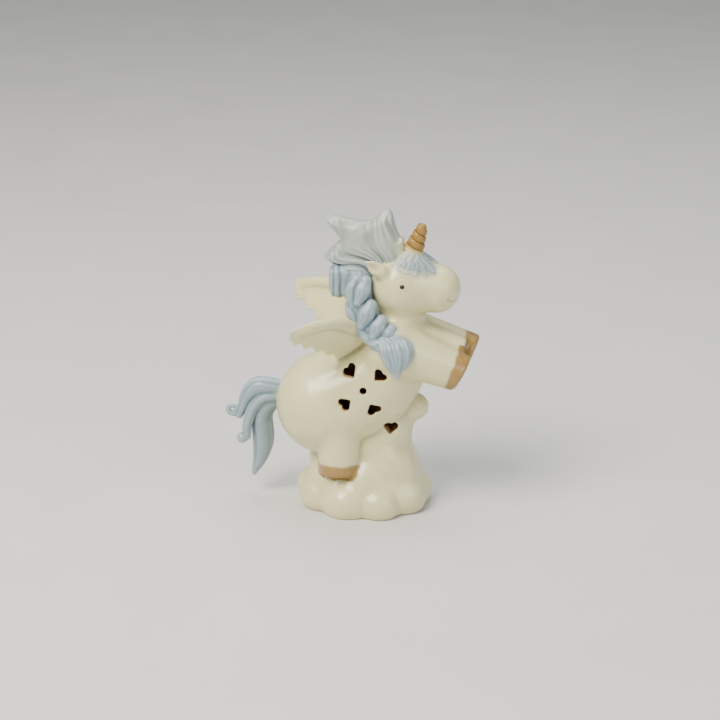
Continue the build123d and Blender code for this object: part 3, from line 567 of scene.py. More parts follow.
# Blend radii: how softly each form runs into the clay before it
BANK_BLEND, FOOT_BLEND, CLOUD_BLEND = 6.0, 3.4, 1.5
SPINE_BLEND, HEAD_BLEND, MUZZLE_BLEND, CHEST_BLEND = 0.4, 1.6, 4.0, 2.4
FORELEG_BLEND, HIND_LEG_BLEND = 4.0, 2.2
EAR_BLEND, EAR_BOWL_BLEND, WING_BLEND = 1.2, 1.4, 1.3
ROOM_BLEND, WALL_BLEND, HOLE_BLEND, FOOT_EDGE_BLEND = 2.0, 0.6, 0.5, 0.8

# Wing sheet: root, then the steps along its span and down its chord
WING_ROOT = np.array((-1.0, 15.8, 95.5))
WING_SPANS = {-1: np.array((-31.5, 27.5, 9.0)), 1: np.array((-40.0, 27.5, 10.0))}
WING_CHORD = np.array((0.0, -11.5, -18.0))
FEATHERS = (
    ((-0.04, 0.12), (0.50, 0.04), (0.95, 0.42)),
    ((-0.04, 0.24), (0.47, 0.22), (0.90, 0.54)),
    ((-0.04, 0.36), (0.42, 0.38), (0.78, 0.66)),
    ((-0.04, 0.48), (0.36, 0.52), (0.64, 0.78)),
    ((-0.04, 0.60), (0.28, 0.68), (0.50, 0.92)),
    ((-0.04, 0.72), (0.20, 0.86), (0.36, 1.07)),
    ((-0.04, 0.84), (0.12, 1.00), (0.22, 1.20)),
)

# Half widths and half thicknesses of a feather from its root to its tip
FEATHER_WIDTHS = (3.2, 3.8, 4.2, 4.3, 3.8)
FEATHER_DEPTHS = (1.9, 1.5, 1.3, 1.2, 1.0)
# The bar along the leading edge: shares of span and chord, and radius
WING_BAR = ((-0.02, 0.10, 2.8), (0.30, -0.10, 2.5), (0.56, -0.02, 2.3), (0.78, 0.20, 1.9),
            (0.92, 0.44, 1.2))

# Locks of hair from root to tip: place, half width and half thickness
CREST_LOCKS = (
    ((17, -0.4, 121, 6.4, 5.8), (15.2, -0.8, 129, 6.2, 5.6), (13.4, -1, 137, 5, 4.4),
     (11.6, -1.2, 143.4, 3.4, 3.0), (10.4, -1.2, 147.6, 1.9, 1.9)),
    ((11, -0.4, 121, 7.6, 6.4), (8.6, -1, 130, 7.2, 6), (6.2, -1.2, 137.5, 5.6, 4.8),
     (5, -1.2, 141, 4.2, 3.6)),
    ((5, 0, 120, 8.4, 6.8), (0.6, -0.6, 129, 7.8, 6.6), (-2.8, -0.8, 136, 6, 5.4),
     (-4.4, -0.8, 139.4, 4.4, 4.4)),
    ((1, 0, 118, 8.4, 7), (-4.6, 0.5, 127.5, 7.6, 6.6), (-9.8, 1, 135.6, 5.8, 5.2),
     (-14.2, 1.2, 140.4, 3.8, 3.6), (-17.8, 1.2, 142.6, 2.2, 2.2)),
    ((1.5, -1, 113, 8, 7), (-6, -1.6, 120.4, 7.2, 6.4), (-12.6, -2, 125, 5.4, 4.8),
     (-17.2, -2, 125.6, 3.2, 3), (-18.6, -2, 124.6, 2.2, 2.2)),
)
FAR_LOCKS = (
    ((-1, 4, 114, 6.8, 6.4), (-8.4, 5.2, 117, 6.2, 6.2), (-14.0, 5.8, 113.4, 5.0, 4.8),
     (-16.8, 6.0, 106.8, 2.2, 2.0)),
    ((2, 6, 110, 6, 6.4), (-2.4, 8, 104, 6, 5.4), (-4.8, 8.6, 96, 4.4, 4),
     (-5.6, 8.2, 88.6, 1.2, 1.3)),
)
BACK_OUTLINE = (
    (-17.1, 120.4), (-15.2, 122.3), (-10.7, 123.0), (-4.6, 122.0), (-1.0, 118.0), (-2.6, 112.0),
    (-6.0, 108.6), (-8.3, 106.9), (-11.4, 106.3), (-14.4, 106.3), (-16.4, 108.0), (-17.5, 111.3),
    (-17.8, 116.8),
)
CREST_OUTLINE = (
    (18.2, 134.3), (16.2, 136.5), (13.9, 141.8), (12.6, 147.4), (10.9, 149.6), (8.3, 149.0),
    (3.3, 144.4), (-4.2, 143.6), (-10.9, 145.3), (-18.0, 145.4), (-19.6, 143.4), (-17.1, 140.2),
    (-13.9, 137.0), (-12.2, 133.8), (-14.6, 131.4), (-18.6, 128.0), (-20.2, 124.8), (-16.8, 121.8),
    (-10.0, 118.0), (0.0, 106.0), (12.0, 108.0), (19.0, 124.0),
)
# The comb's grooves: where they fan out from, how many make a full turn, and their depth
COMB_POLE = (15.0, 106.0)
WIDE_GROOVES, FINE_GROOVES, COMB_DEPTH = 23, 61, 1.35
DRAPE_SPACING = 4.0
# Rows laid on the brow, and how high each stands on it
FORELOCKS = (
    ((20.9, -3.0, 128.7, 2.8, 2.2), (18.3, -8.0, 127.0, 3.2, 1.9), (16.0, -11.0, 124.0, 2.2, 1.2)),
    ((22.1, -4.0, 128.7, 2.8, 2.2), (20.8, -9.0, 126.0, 3.2, 1.9), (20.9, -12.5, 123.3, 2.2, 1.2)),
    ((23.8, -4.0, 128.7, 2.8, 2.2), (24.4, -9.0, 126.1, 3.0, 1.9), (25.5, -12.5, 122.7, 2.0, 1.2)),
    ((26.5, -3.6, 129.7, 3.0, 2.3), (29.5, -8.0, 127.5, 3.6, 2.0), (31.9, -10.5, 124.5, 2.4, 1.2)),
    ((27.3, -2.0, 131.0, 3.2, 2.4), (31.0, -5.0, 128.4, 3.8, 2.1), (34.6, -7.5, 124.8, 2.6, 1.3)),
)
FORELOCK_HEIGHTS = (0.5, 0.3, -0.4)
BRAID_CORE = ((-2.0, -8.6, 116.1, 5.8, 5.4), (-1.4, -11.4, 106.0, 6.2, 5.6),
              (3.0, -13.6, 97.6, 6.2, 5.4), (9.0, -16.4, 90.4, 4.6, 4.4))
# Each lobe of the braid: place, half width and half thickness
BRAID_LOBES = (
    ((1.4, -12.1, 117.2, 2.8, 2.8), (0.1, -14.7, 113.0, 3.7, 3.4), (-2.0, -16.2, 107.6, 2.2, 2.0)),
    ((-3.2, -11.1, 117.6, 2.5, 2.6), (-5.5, -12.8, 112.3, 3.1, 3.2),
     (-4.6, -14.9, 105.4, 1.9, 2.0)),
    ((4.2, -15.4, 106.5, 3.0, 2.8), (2.1, -17.6, 102.1, 4.1, 3.2), (-0.2, -18.7, 97.2, 2.2, 2.0)),
    ((9.6, -17.0, 99.5, 3.0, 2.8), (7.7, -18.8, 96.2, 3.9, 3.0), (5.9, -19.9, 92.2, 2.2, 1.8)),
    ((14.2, -17.6, 95.6, 2.6, 2.4), (12.8, -18.8, 93.6, 3.4, 2.8), (11.0, -19.7, 91.0, 2.0, 1.8)),
    ((-6.5, -13.6, 105.4, 2.0, 2.0), (-5.2, -15.2, 101.8, 2.7, 2.6), (-3.0, -16.6, 98.9, 1.7, 1.7)),
    ((-3.2, -15.2, 98.8, 2.0, 2.0), (-1.2, -16.7, 95.6, 2.8, 2.6), (1.2, -18.2, 93.0, 1.7, 1.7)),
    ((-0.6, -16.6, 93.4, 2.0, 2.0), (2.4, -18.2, 91.2, 2.8, 2.6), (6.0, -19.5, 89.7, 1.8, 1.7)),
    ((3.6, -18.9, 89.1, 1.7, 1.7), (7.7, -21.1, 89.0, 2.1, 2.1), (11.6, -20.1, 91.2, 1.7, 1.7)),
    ((6.0, -19.9, 86.9, 1.4, 1.5), (9.4, -21.9, 87.8, 1.8, 1.9), (12.7, -20.4, 90.4, 1.4, 1.5)),
)
TUFT_LOCKS = (
    ((10.1, -19.2, 89.1, 2.8, 3.0), (12.5, -23.2, 86.3, 3.6, 3.2), (14.8, -25.4, 80.8, 3.0, 2.6),
     (18.0, -26.4, 74.8, 1.3, 1.2)),
    ((12.0, -19.2, 89.6, 3.2, 3.2), (17.0, -23.6, 87.0, 4.6, 3.4), (18.2, -26.0, 82.0, 3.4, 2.8),
     (18.6, -26.6, 75.5, 1.3, 1.2)),
    ((13.8, -19.0, 90.4, 2.8, 3.0), (20.5, -22.4, 88.7, 3.8, 3.2), (22.0, -25.0, 84.6, 3.0, 2.6),
     (21.0, -26.2, 79.0, 1.3, 1.2)),
)
TAIL_LOCKS = (
    ((-41.0, -0.2, 56.6, 3.6, 4.0), (-48.3, -0.3, 57.6, 4.4, 4.8), (-53.5, -0.6, 56.8, 4.2, 5.3),
     (-58.2, -0.9, 52.7, 3.4, 4.0), (-60.9, -1.0, 46.1, 2.4, 2.7), (-62.8, -1.0, 41.6, 1.6, 2.0)),
    ((-41.0, -1.0, 53.8, 3.0, 3.6), (-49.7, -2.0, 52.3, 2.8, 3.2), (-55.2, -2.6, 46.9, 2.6, 2.8),
     (-58.2, -2.8, 39.0, 2.4, 2.6), (-58.8, -2.8, 31.4, 2.0, 2.2)),
    ((-41.0, 1.0, 51.8, 3.0, 3.8), (-48.5, 1.2, 48.1, 4.6, 5.1), (-51.7, 1.6, 41.1, 5.0, 5.5),
     (-51.1, 2.0, 29.7, 4.8, 5.6), (-52.6, 1.8, 20.2, 3.4, 4.1), (-55.1, 1.6, 12.9, 2.0, 2.1),
     (-56.0, 1.6, 10.4, 1.3, 1.3)),
)
CURL_MIDDLE = (-66.0, -1.0, 44.8)
CURL_RADIUS = 2.6
CURL_BLEND = 0.5
# The bead at the lower lock's tip: middle, radius and reach of its box
TAIL_KNOB = ((-61.0, -2.8, 30.6), 2.7, 5)
# How each set of locks is laid: across (the forelock's own), blend radius, number of
# strands, and groove as a share of the strand depth
CREST_LAY = (SIDEWAYS, 3.0, 0, 0.0)
FAR_LAY = (SIDEWAYS, 2.0, 13, 0.5)
FORELOCK_LAY = (1.0, 9, 1.3)
BRAID_LAY = (FORWARDS, 0.7, 7, 0.35)
TUFT_LAY = (FORWARDS, 1.4, 9, 0.6)
TAIL_LAY = (SIDEWAYS, 0.8, 5, 0.5)
# Half thickness and rim of the crest, of the form that trims it, and of the back lock,
# whose middle lies to the right
CREST_CUSHION, CREST_LIMIT, CREST_RIM = (6.6, 5.0), (11.0, 4.0), 0.8
BACK_CUSHION = (5.4, 3.4, -4.6)


def leg_lines():
    """Start, end and radii of each leg, the right pair first."""
    legs = {}
    for side, name, drop, reach in FORELEGS:
        way = np.array((cos(radians(drop)), 0, -sin(radians(drop))))
        root = np.array(FORELEG_ROOT) * (1, side, 1)
        end = root + way * reach - (0, side * FORELEG_INWARD, 0)
        legs[f"{name}_foreleg"] = (root, end, *FORELEG_RADII)
        hip, foot = (np.array(place) * (1, side, 1) for place in HIND_LEG)
        legs[f"{name}_hind_leg"] = (hip, foot, *HIND_LEG_RADII)
    return legs


def cloud_lobes():
    """Centres and radii of the cloud's lobes: two soft rings round the foot, then the climb."""
    lobes = []
    half_length, half_width, height, bank_radius = BANK_RING
    for i in range(FOOT_LOBE_COUNT):
        # The sines of the count make the lobes uneven, as a hand presses them
        turn = 2 * pi * (i + 0.3) / FOOT_LOBE_COUNT
        radius = FOOT_LOBE_RADIUS + FOOT_LOBE_SWELL * sin(2.3 * i + 0.6)
        reach = FOOT_FRONT if cos(turn) > 0 else FOOT_BACK
        lobes.append(((reach - radius) * cos(turn), (FOOT_SIDE - radius) * sin(turn),
                      FOOT_LOBE_HEIGHT + FOOT_LOBE_LIFT * sin(1.7 * i), radius))
        turn += pi / FOOT_LOBE_COUNT
        lobes.append((half_length * cos(turn), half_width * sin(turn),
                      height + BANK_LIFT * sin(2.1 * i), bank_radius))
    for lobe in CLIMBING_LOBES:
        lobes += sided([lobe], 1) + sided([lobe], -1)
    return lobes + list(MIDDLE_LOBES)


def brow(x, y, z):
    """The head as a form: a ball with the muzzle drawn out of it."""
    muzzle = limb(HEAD, MUZZLE, *MUZZLE_RADII)
    return soft_min(ball(HEAD, HEAD_RADIUS)(x, y, z), muzzle(x, y, z), MUZZLE_BLEND)


def wing_rows(side):
    """The feathers of one wing, then the bar along its leading edge."""
    def place(span, chord):
        at = WING_ROOT + WING_SPANS[side] * span + WING_CHORD * chord
        return at[0], side * at[1], at[2]

    rows = []
    for feather in FEATHERS:
        path = smooth_path([place(*at) for at in feather], len(FEATHER_WIDTHS))
        rows.append([(*p, *size) for p, size in zip(path, zip(FEATHER_WIDTHS, FEATHER_DEPTHS))])
    rows.append([(*place(span, chord), w, w) for span, chord, w in WING_BAR])
    return rows


def cast_clay(sizes):
    """The ivory cast as one field, hollow and pierced, and the same field still solid."""
    clay = Clay(*CAST_BOX, sizes.body_grain / MM)

    def body(shape, points, radius, blend, name):
        low, high = bounds_of(points, radius + 2 * blend + 1)
        clay.add(shape, low, high, blend, INDEX[name])

    for (at, radii), blend in zip(CLOUD_EGGS, (0, BANK_BLEND, BANK_BLEND)):
        body(egg(at, radii), [at], max(radii) + 1, blend, "cloud_base")
    for *at, radius in cloud_lobes():
        blend = FOOT_BLEND if at[2] < FOOT_LEVEL else BANK_BLEND
        body(ball(at, radius), [at], radius, blend, "cloud_base")
    # The animal is modelled apart from the cloud, then luted to it
    cloud, clay.field = clay.field, np.full_like(clay.field, FAR)
    spine = smooth_path(SPINE, SPINE_STEPS)
    for (*a, first), (*b, last) in zip(spine[:-1], spine[1:]):
        body(limb(a, b, first, last), [a, b], max(first, last), SPINE_BLEND, "trunk")
    for name, (start, end, *radii) in leg_lines().items():
        tilt, blend = (HOOF_TILT, FORELEG_BLEND) if "fore" in name else (0.0, HIND_LEG_BLEND)
        body(limb(start, end, *radii, HOOF_RIM, tilt), [start, end], radii[0], blend, name)
    (*breast, first), (*knees, last) = CHEST
    web = limb(breast, knees, first, last, HOOF_RIM, HOOF_TILT)
    body(web, [breast, knees], first + 1, CHEST_BLEND, "right_foreleg")
    clay.field = soft_min(clay.field, cloud, CLOUD_BLEND)
    body(brow, [HEAD, MUZZLE], HEAD_RADIUS, HEAD_BLEND, "head")
    for side, name in SIDES:
        across = np.array(EAR_ACROSS) * (1, side, 1)
        add_lock(clay, sided(EAR_LOCK, side), across, EAR_BLEND, label=INDEX[f"{name}_ear"])
        middle, radii, reach = EAR_BOWL
        middle = np.array(middle) * (1, side, 1)
        clay.cut(egg(middle, radii), *bounds_of([middle], reach), EAR_BOWL_BLEND)
        for row in wing_rows(side):
            add_lock(clay, row, WING_CHORD * (1, side, 1), WING_BLEND,
                     label=INDEX[f"{name}_wing"])
    whole_cast = clay.field.copy()
    hollow_out(clay, sizes)
    return clay, whole_cast


def hollow_out(clay, sizes):
    """Cuts the room inside, the hearts and hole, the flat foot and the light's seat."""
    wall = sizes.cast_wall / MM
    heights = (11, 20 - wall, 20)
    rooms = [egg(at, (a - wall, b - wall, height))
             for (at, (a, b, _)), height in zip(CLOUD_EGGS, heights)]
    rooms.append(ball(RUMP, RUMP_RADIUS - wall))
    for (*a, first), (*b, last) in zip(BREAST_ROOM[:-1], BREAST_ROOM[1:]):
        rooms.append(limb(a, b, first - wall, last - wall))
    _, x, y, z = clay.part(*CAST_BOX)
    inner = reduce(lambda a, b: soft_min(a, b, ROOM_BLEND),
                   (room(x, y, z).astype(np.float32) for room in rooms))
    clay.field = soft_cut(clay.field, np.maximum(inner, FLOOR_OF_ROOM - z), WALL_BLEND)
    heart, ring, hole = (
        size / MM for size in (sizes.heart_width, sizes.heart_ring, sizes.light_hole))
    openings = []
    for angle in HEART_ANGLES:
        turn = radians(angle)
        at = (HEART_MIDDLE[0] + ring * cos(turn), 0, HEART_MIDDLE[2] + ring * sin(turn))
        openings.append((heart_field(heart, at, angle - 90), at))
    openings.append((heart_field(heart, CLOUD_HEART, CLOUD_HEART_TURN), CLOUD_HEART))
    openings.append((drilled(HEART_MIDDLE, hole), HEART_MIDDLE))
    for form, at in openings:
        clay.cut(form, (at[0] - OPENING_REACH, -OPENING_DEPTH, at[2] - OPENING_REACH),
                 (at[0] + OPENING_REACH, 0, at[2] + OPENING_REACH), HOLE_BLEND)
    low, high = CAST_BOX
    clay.cut(lambda x, y, z: z, low, (*high[:2], 2), FOOT_EDGE_BLEND)
    for radius, top in LIGHT_SEAT:
        clay.cut(post(radius, top), (-SEAT_REACH, -SEAT_REACH, low[2]),
                 (SEAT_REACH, SEAT_REACH, top + 2), HOLE_BLEND)


def outline_gap(corners, x, z):
    """How far places stand outside a closed outline in the x and z plane, negative inside."""
    line = smooth_path([corners[-1], *corners, corners[0]], 6 * (len(corners) + 1) + 1)[6:-6]
    best = np.full(np.broadcast(x, z).shape, 1e9)
    crossings = np.zeros(best.shape, int)
    for a, b in zip(line, np.roll(line, -1, axis=0)):
        run = b - a
        share = np.clip(((x - a[0]) * run[0] + (z - a[1]) * run[1]) / (run @ run), 0, 1)
        best = np.minimum(best, (x - a[0] - share * run[0]) ** 2 + (z - a[1] - share * run[1]) ** 2)
        at = a[0] + (z - a[1]) * run[0] / (run[1] if run[1] else 1)
        crossings += ((a[1] > z) != (b[1] > z)) & (x < at)
    return np.sqrt(best) * np.where(crossings % 2, -1, 1)


def cushion(corners, half_thickness, rim, middle=0.0):
    """A form with this outline from the side, its faces rounding down to the rim."""
    def form(x, y, z):
        gap = outline_gap(corners, x[:, 0, :], z[0])[:, None, :]
        inward = rim + np.maximum(gap, -rim)
        return np.sqrt(inward ** 2 + ((y - middle) * rim / half_thickness) ** 2) - rim

    return form


def combed(x, z):
    """Grooves that fan out from the poll to the crest's tips, wide and shallow, in mm."""
    turn = np.arctan2(z - COMB_POLE[1], COMB_POLE[0] - x)
    far = np.hypot(x - COMB_POLE[0], z - COMB_POLE[1])
    # The hand that combs them wavers, and the fine ones swell and fade
    turn = turn + 0.10 * np.sin(far / 5.2 + 1.0) + 0.04 * np.sin(far / 2.9 + 4 * turn)
    wide = np.cos(WIDE_GROOVES * turn + 1.7 * np.sin(5 * turn + far / 9.0))
    fine = np.cos(FINE_GROOVES * turn + 2.4 * np.sin(9 * turn - far / 6.0))
    swell = 0.6 + 0.4 * np.sin(far / 4.1 + 8 * turn)
    return COMB_DEPTH * (0.8 * (0.5 - 0.5 * wide) ** 2 + 0.34 * swell * (0.5 - 0.5 * fine))


def draped(x, z):
    """Grooves that hang down the back lock, in mm."""
    drape = x + 0.16 * (z - 112) + 0.6 * np.sin((z - 104) / 3.1) + 0.7 * np.sin(x / 2.3)
    return 0.5 * (0.5 - 0.5 * np.cos(2 * pi * drape / DRAPE_SPACING)) ** 2


def laid(row, form, height):
    """A row moved straight out from a form's surface until it stands at this height."""
    at = np.array(row[:3], float)
    for _ in range(6):
        here = form(*at)
        slope = np.array([form(*(at + step)) - here for step in 0.05 * np.eye(3)])
        slope /= np.linalg.norm(slope)
        at -= (here - height) * slope
    return (*at, *row[3:])


def curl_rows():
    """The little curl at the tail's edge: it winds in and thins as it goes."""
    rows = []
    for i in range(12):
        turn = radians(20 - 30 * i)
        radius = CURL_RADIUS * (1 - 0.03 * i)
        rows.append((CURL_MIDDLE[0] + radius * cos(turn), CURL_MIDDLE[1],
                     CURL_MIDDLE[2] + radius * sin(turn), 1.4 - 0.05 * i, 1.6 - 0.05 * i))
    return rows


def add_locks(clay, locks, lay, depth):
    """Adds several locks that are laid alike, their grooves shares of the strand depth."""
    across, blend, strands, groove = lay
    for rows in locks:
        add_lock(clay, rows, across, blend, strands, groove * depth)


def hair_clay(name, sizes):
    """The field of one piece of hair."""
    box, depth = HAIR_BOXES[name], sizes.strand_depth
    clay = Clay(*box, sizes.hair_grain / MM)
    _, x, y, z = clay.part(*box)
    if name == "mane_crest":
        clay.add(cushion(CREST_OUTLINE, *CREST_CUSHION), *box, 0)
        add_locks(clay, CREST_LOCKS, CREST_LAY, depth)
        limit = cushion(CREST_OUTLINE, *CREST_LIMIT)(x, y, z)
        clay.field = soft_cut(clay.field, -limit, CREST_RIM)
        # The grooves run shallow along the crest's middle, so that its edge stays whole
        clay.field += combed(x, z) * np.clip((np.abs(y) - 1.0) / 3.0, 0.3, 1)
        clay.field = clay.field.astype(np.float32)
        add_locks(clay, FAR_LOCKS, FAR_LAY, depth)
    elif name == "mane_back_lock":
        clay.add(cushion(BACK_OUTLINE, *BACK_CUSHION), *box, 0)
        clay.field = (clay.field + draped(x, z)).astype(np.float32)
    elif name == "forelock":
        for rows in FORELOCKS:
            rows = [laid(row, brow, height) for row, height in zip(rows, FORELOCK_HEIGHTS)]
            for side, _ in SIDES:
                mine = sided(rows, -side)
                run = np.array(mine[-1][:3]) - mine[0][:3]
                outward = np.array(mine[1][:3]) - HEAD
                add_locks(clay, [mine], (np.cross(run, outward), *FORELOCK_LAY), depth)
    elif name == "braid":
        add_locks(clay, (BRAID_CORE, *BRAID_LOBES), BRAID_LAY, depth)
        add_locks(clay, TUFT_LOCKS, TUFT_LAY, depth)
    else:
        add_locks(clay, TAIL_LOCKS, TAIL_LAY, depth)
        add_lock(clay, curl_rows(), SIDEWAYS, CURL_BLEND)
        at, radius, reach = TAIL_KNOB
        clay.add(ball(at, radius), *bounds_of([at], reach), TAIL_LAY[1])
    return clay


def smooth_values(values, faces, rounds):
    """Values on points, each averaged with its neighbours round the faces."""
    count = len(values)
    starts, stops = faces.T.ravel(), np.roll(faces, -1, axis=1).T.ravel()
    ends, others = np.concatenate([starts, stops]), np.concatenate([stops, starts])
    degree = np.maximum(np.bincount(ends, minlength=count), 1)
    columns = values.reshape(count, -1)
    for _ in range(rounds):
        columns = np.stack([np.bincount(ends, column[others], minlength=count) / degree
                            for column in columns.T], axis=1)
    return columns.reshape(values.shape)


def hollows(points, faces, normals):
    """How deep each point lies in a crease, in millimetres: positive in, negative on ridges."""
    near = smooth_values(points, faces, 3)
    wide = smooth_values(near, faces, 10)
    fine = np.einsum("ij,ij->i", near - points, normals)
    broad = np.einsum("ij,ij->i", wide - points, normals)
    return smooth_values(fine, faces, 1), smooth_values(broad, faces, 2)


def make_piece(name, surface, attributes, node, material):
    """A glazed mesh piece from a surface in millimetres, standing for its CAD node."""
    points, faces, normals = surface
    used = np.unique(faces)
    order = np.full(len(points), -1)
    order[used] = np.arange(len(used))
    mesh = bpy.data.meshes.new(name)
    places = (points[used] + (BASE_SHIFT, 0, 0)) * MM
    mesh.from_pydata(places.tolist(), [], order[faces].tolist())
    mesh.polygons.foreach_set("use_smooth", [True] * len(mesh.polygons))
    for key, values in attributes.items():
        layer = mesh.attributes.new(key, "FLOAT", "POINT")
        layer.data.foreach_set("value", values[used].astype(np.float32))
    mesh.update()
    mesh.normals_split_custom_set_from_vertices(normals[used].tolist())
    piece = bpy.data.objects.new(name, mesh)
    bpy.context.scene.collection.objects.link(piece)
    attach(piece, FIGURE)
    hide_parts(node)
    mesh.materials.append(material)


def vertex_vectors(mesh, key):
    """Three numbers of each vertex of a mesh as an array."""
    values = np.empty(len(mesh.vertices) * 3)
    mesh.vertices.foreach_get(key, values)
    return values.reshape(-1, 3)


# Materials

RGBA = {"data_type": "RGBA"}


def add_node(tree, kind, settings=None, **links):
    """Adds a node, sets its options and inputs, and links inputs given as sockets."""
    node = tree.nodes.new(kind)
    for key, value in (settings or {}).items():
        setattr(node, key, value)
    for key, value in links.items():
        numbered = key[0] == "i" and key[1:].isdigit()
        socket = node.inputs[int(key[1:]) if numbered else key.replace("_", " ")]
        if isinstance(value, bpy.types.NodeSocket):
            tree.links.new(value, socket)
        else:
            socket.default_value = value
    return node


def start_material(name):
    """A bare material, the way to add nodes to it, and the piece's own coordinates."""
    material = bpy.data.materials.new(name)
    material.use_nodes = True
    material.node_tree.nodes.clear()
    add = partial(add_node, material.node_tree)
    return material, add, add("ShaderNodeTexCoord").outputs["Object"]


def darker(tint, share):
    """A colour with its light cut to a share."""
    return tuple(channel * share for channel in tint[:3]) + (1.0,)


def glaze(name, base, pool, rub_highlight, roughness, coat, grain_mm, subsurface=0.0, **sprayed):
    """A fired glaze: base colour, a thick pool with painted shade in creases, thin with a painted
    highlight on ridges, faint specks.
    """
    if name in bpy.data.materials:
        return bpy.data.materials[name]
    material, add, place = start_material(name)
    pool_and_shade_depth = add("ShaderNodeAttribute", {"attribute_name": "pool"}).outputs["Fac"]
    cloudy = add("ShaderNodeTexNoise", Vector=place, Scale=1 / (grain_mm * MM), Detail=3.0,
                 Roughness=0.55).outputs["Fac"]
    paint = base
    # Rubbed thin with a painted highlight on ridges, unevenly thick all over, and pooled with
    # painted shade in creases
    for value, low, high, most, tint in ((pool_and_shade_depth, 0.0, -0.10, 0.75, rub_highlight),
                                         (cloudy, 0.35, 0.75, 0.22, pool),
                                         (pool_and_shade_depth, 0.0, 0.16, 1.0, pool)):
        share = add("ShaderNodeMapRange", Value=value, From_Min=low, From_Max=high, To_Min=0.0,
                    To_Max=most)
        paint = add("ShaderNodeMix", RGBA, i0=share.outputs[0], i6=paint, i7=tint).outputs[2]
    for key, tint in sprayed.items():
        if key == "gilt":
            # Brush strokes 3.4 mm wide leave the gold thick and thin
            strokes = add("ShaderNodeTexNoise", Vector=place, Scale=1 / (3.4 * MM), Detail=4.0,
                          Roughness=0.6)
            share = add("ShaderNodeMapRange", Value=strokes.outputs["Fac"], From_Min=0.38,
                        From_Max=0.66, To_Min=0.0, To_Max=0.45)
            tint = add("ShaderNodeMix", RGBA, i0=share.outputs[0], i6=tint,
                       i7=darker(tint, 0.5)).outputs[2]
        cover = add("ShaderNodeAttribute", {"attribute_name": key}).outputs["Fac"]
        paint = add("ShaderNodeMix", RGBA, i0=cover, i6=paint, i7=tint).outputs[2]
    ripple = add("ShaderNodeTexNoise", Vector=place, Scale=1 / (2.2 * MM), Detail=2.0,
                 Roughness=0.5)
    bump = add("ShaderNodeBump", Height=ripple.outputs["Fac"], Strength=0.06, Distance=0.2 * MM)
    shader = add("ShaderNodeBsdfPrincipled", Base_Color=paint, Roughness=roughness, IOR=1.5,
                 Coat_Weight=coat, Coat_Roughness=0.08, Subsurface_Weight=subsurface,
                 Subsurface_Radius=(1.0, 0.8, 0.5), Subsurface_Scale=1.2 * MM,
                 Normal=bump.outputs["Normal"])
    add("ShaderNodeOutputMaterial", Surface=shader.outputs[0])
    return material


def moulded(name, tint, roughness, metallic, grain_mm, depth_mm):
    """A plain moulded or stamped finish with a fine grain and slight tonal drift."""
    material, add, place = start_material(name)
    grain = add("ShaderNodeTexNoise", Vector=place, Scale=1 / (grain_mm * MM), Detail=4.0,
                Roughness=0.6).outputs["Fac"]
    drift = add("ShaderNodeMapRange", Value=grain, From_Min=0.3, From_Max=0.7, To_Min=0.0,
                To_Max=0.18)
    paint = add("ShaderNodeMix", RGBA, i0=drift.outputs[0], i6=tint, i7=darker(tint, 0.7))
    bump = add("ShaderNodeBump", Height=grain, Strength=0.2, Distance=depth_mm * MM)
    shader = add("ShaderNodeBsdfPrincipled", Base_Color=paint.outputs[2], Roughness=roughness,
                 Metallic=metallic, Normal=bump.outputs["Normal"])
    add("ShaderNodeOutputMaterial", Surface=shader.outputs[0])
    return material


def ivory_glaze(colours):
    """Clear gloss glaze over ivory slip: creamy, soft highlights, warmer where it pools, with
    painted shade in creases.
    """
    # The inner side takes the painted shade of the inside colour
    return glaze("glazed_ivory_porcelain", colours.ivory, colours.ivory_pool_shade, colours.ivory,
                 roughness=0.3, coat=0.3, grain_mm=14.0, subsurface=0.25, mist=colours.blue,
                 gilt=colours.gilt, inside=colours.inside)


def blue_glaze(colours):
    """Airbrushed powder blue under satin glaze: deeper with painted shade in the grooves, rubbed
    with a painted highlight on ridges.
    """
    return glaze("airbrushed_blue_porcelain", colours.blue, colours.blue_pool_shade, colours.blue_rub_highlight,
                 roughness=0.36, coat=0.15, grain_mm=9.0, subsurface=0.1, mist=colours.ivory)


def gilt_glaze(colours):
    """Brushed ochre gold lustre: a soft sheen, darker where the brush left it thick and with
    painted shade in creases.
    """
    return glaze("brushed_gold_lustre", colours.gilt, colours.gilt_pool_shade, colours.gilt,
                 roughness=0.38, coat=0.1, grain_mm=3.0, mist=colours.ivory)


def eye_glaze(colours):
    """Black glaze dot: near black with a small soft catchlight."""
    return glaze("black_eye_glaze", colours.eye, colours.eye, colours.eye,
                 roughness=0.3, coat=0.3, grain_mm=1.0)


# Finishes of the plug-in light: name, colour, roughness, metallic, grain and its depth in
# millimetres, and the pieces that have it
LIGHT_FINISHES = (
    # Grey silver, reflections drawn soft by the plating
    ("nickel_plated_steel", "steel", 0.28, 1.0, 0.8, 0.02,
     ("led_leads", "coin_cell", "hinge_pin", "switch_case", "right_cover_screw",
      "left_cover_screw")),
    # Warm yellow metal, a little duller
    ("stamped_brass", "brass", 0.32, 1.0, 0.6, 0.02, ("upper_contact", "lower_contact")),
    # Off-white, half matt from the spark-eroded mould
    ("moulded_polypropylene", "housing", 0.5, 0.0, 0.35, 0.03,
     ("light_housing", "housing_cover", "battery_door")),
    # Milky grey and matt
    ("soft_silicone", "silicone", 0.62, 0.0, 0.5, 0.04, ("grip_ring",)),
    # Dark green lacquer with a low gloss
    ("solder_masked_laminate", "laminate", 0.35, 0.0, 0.9, 0.02, ("circuit_board",)),
    # Black with a waxy sheen
    ("moulded_acetal", "acetal", 0.45, 0.0, 0.35, 0.03, ("switch_slider",)),
    # Pale straw, glossy as cast
    ("cast_clear_epoxy", "epoxy", 0.08, 0.0, 2.0, 0.01, ("led_lens",)),
)


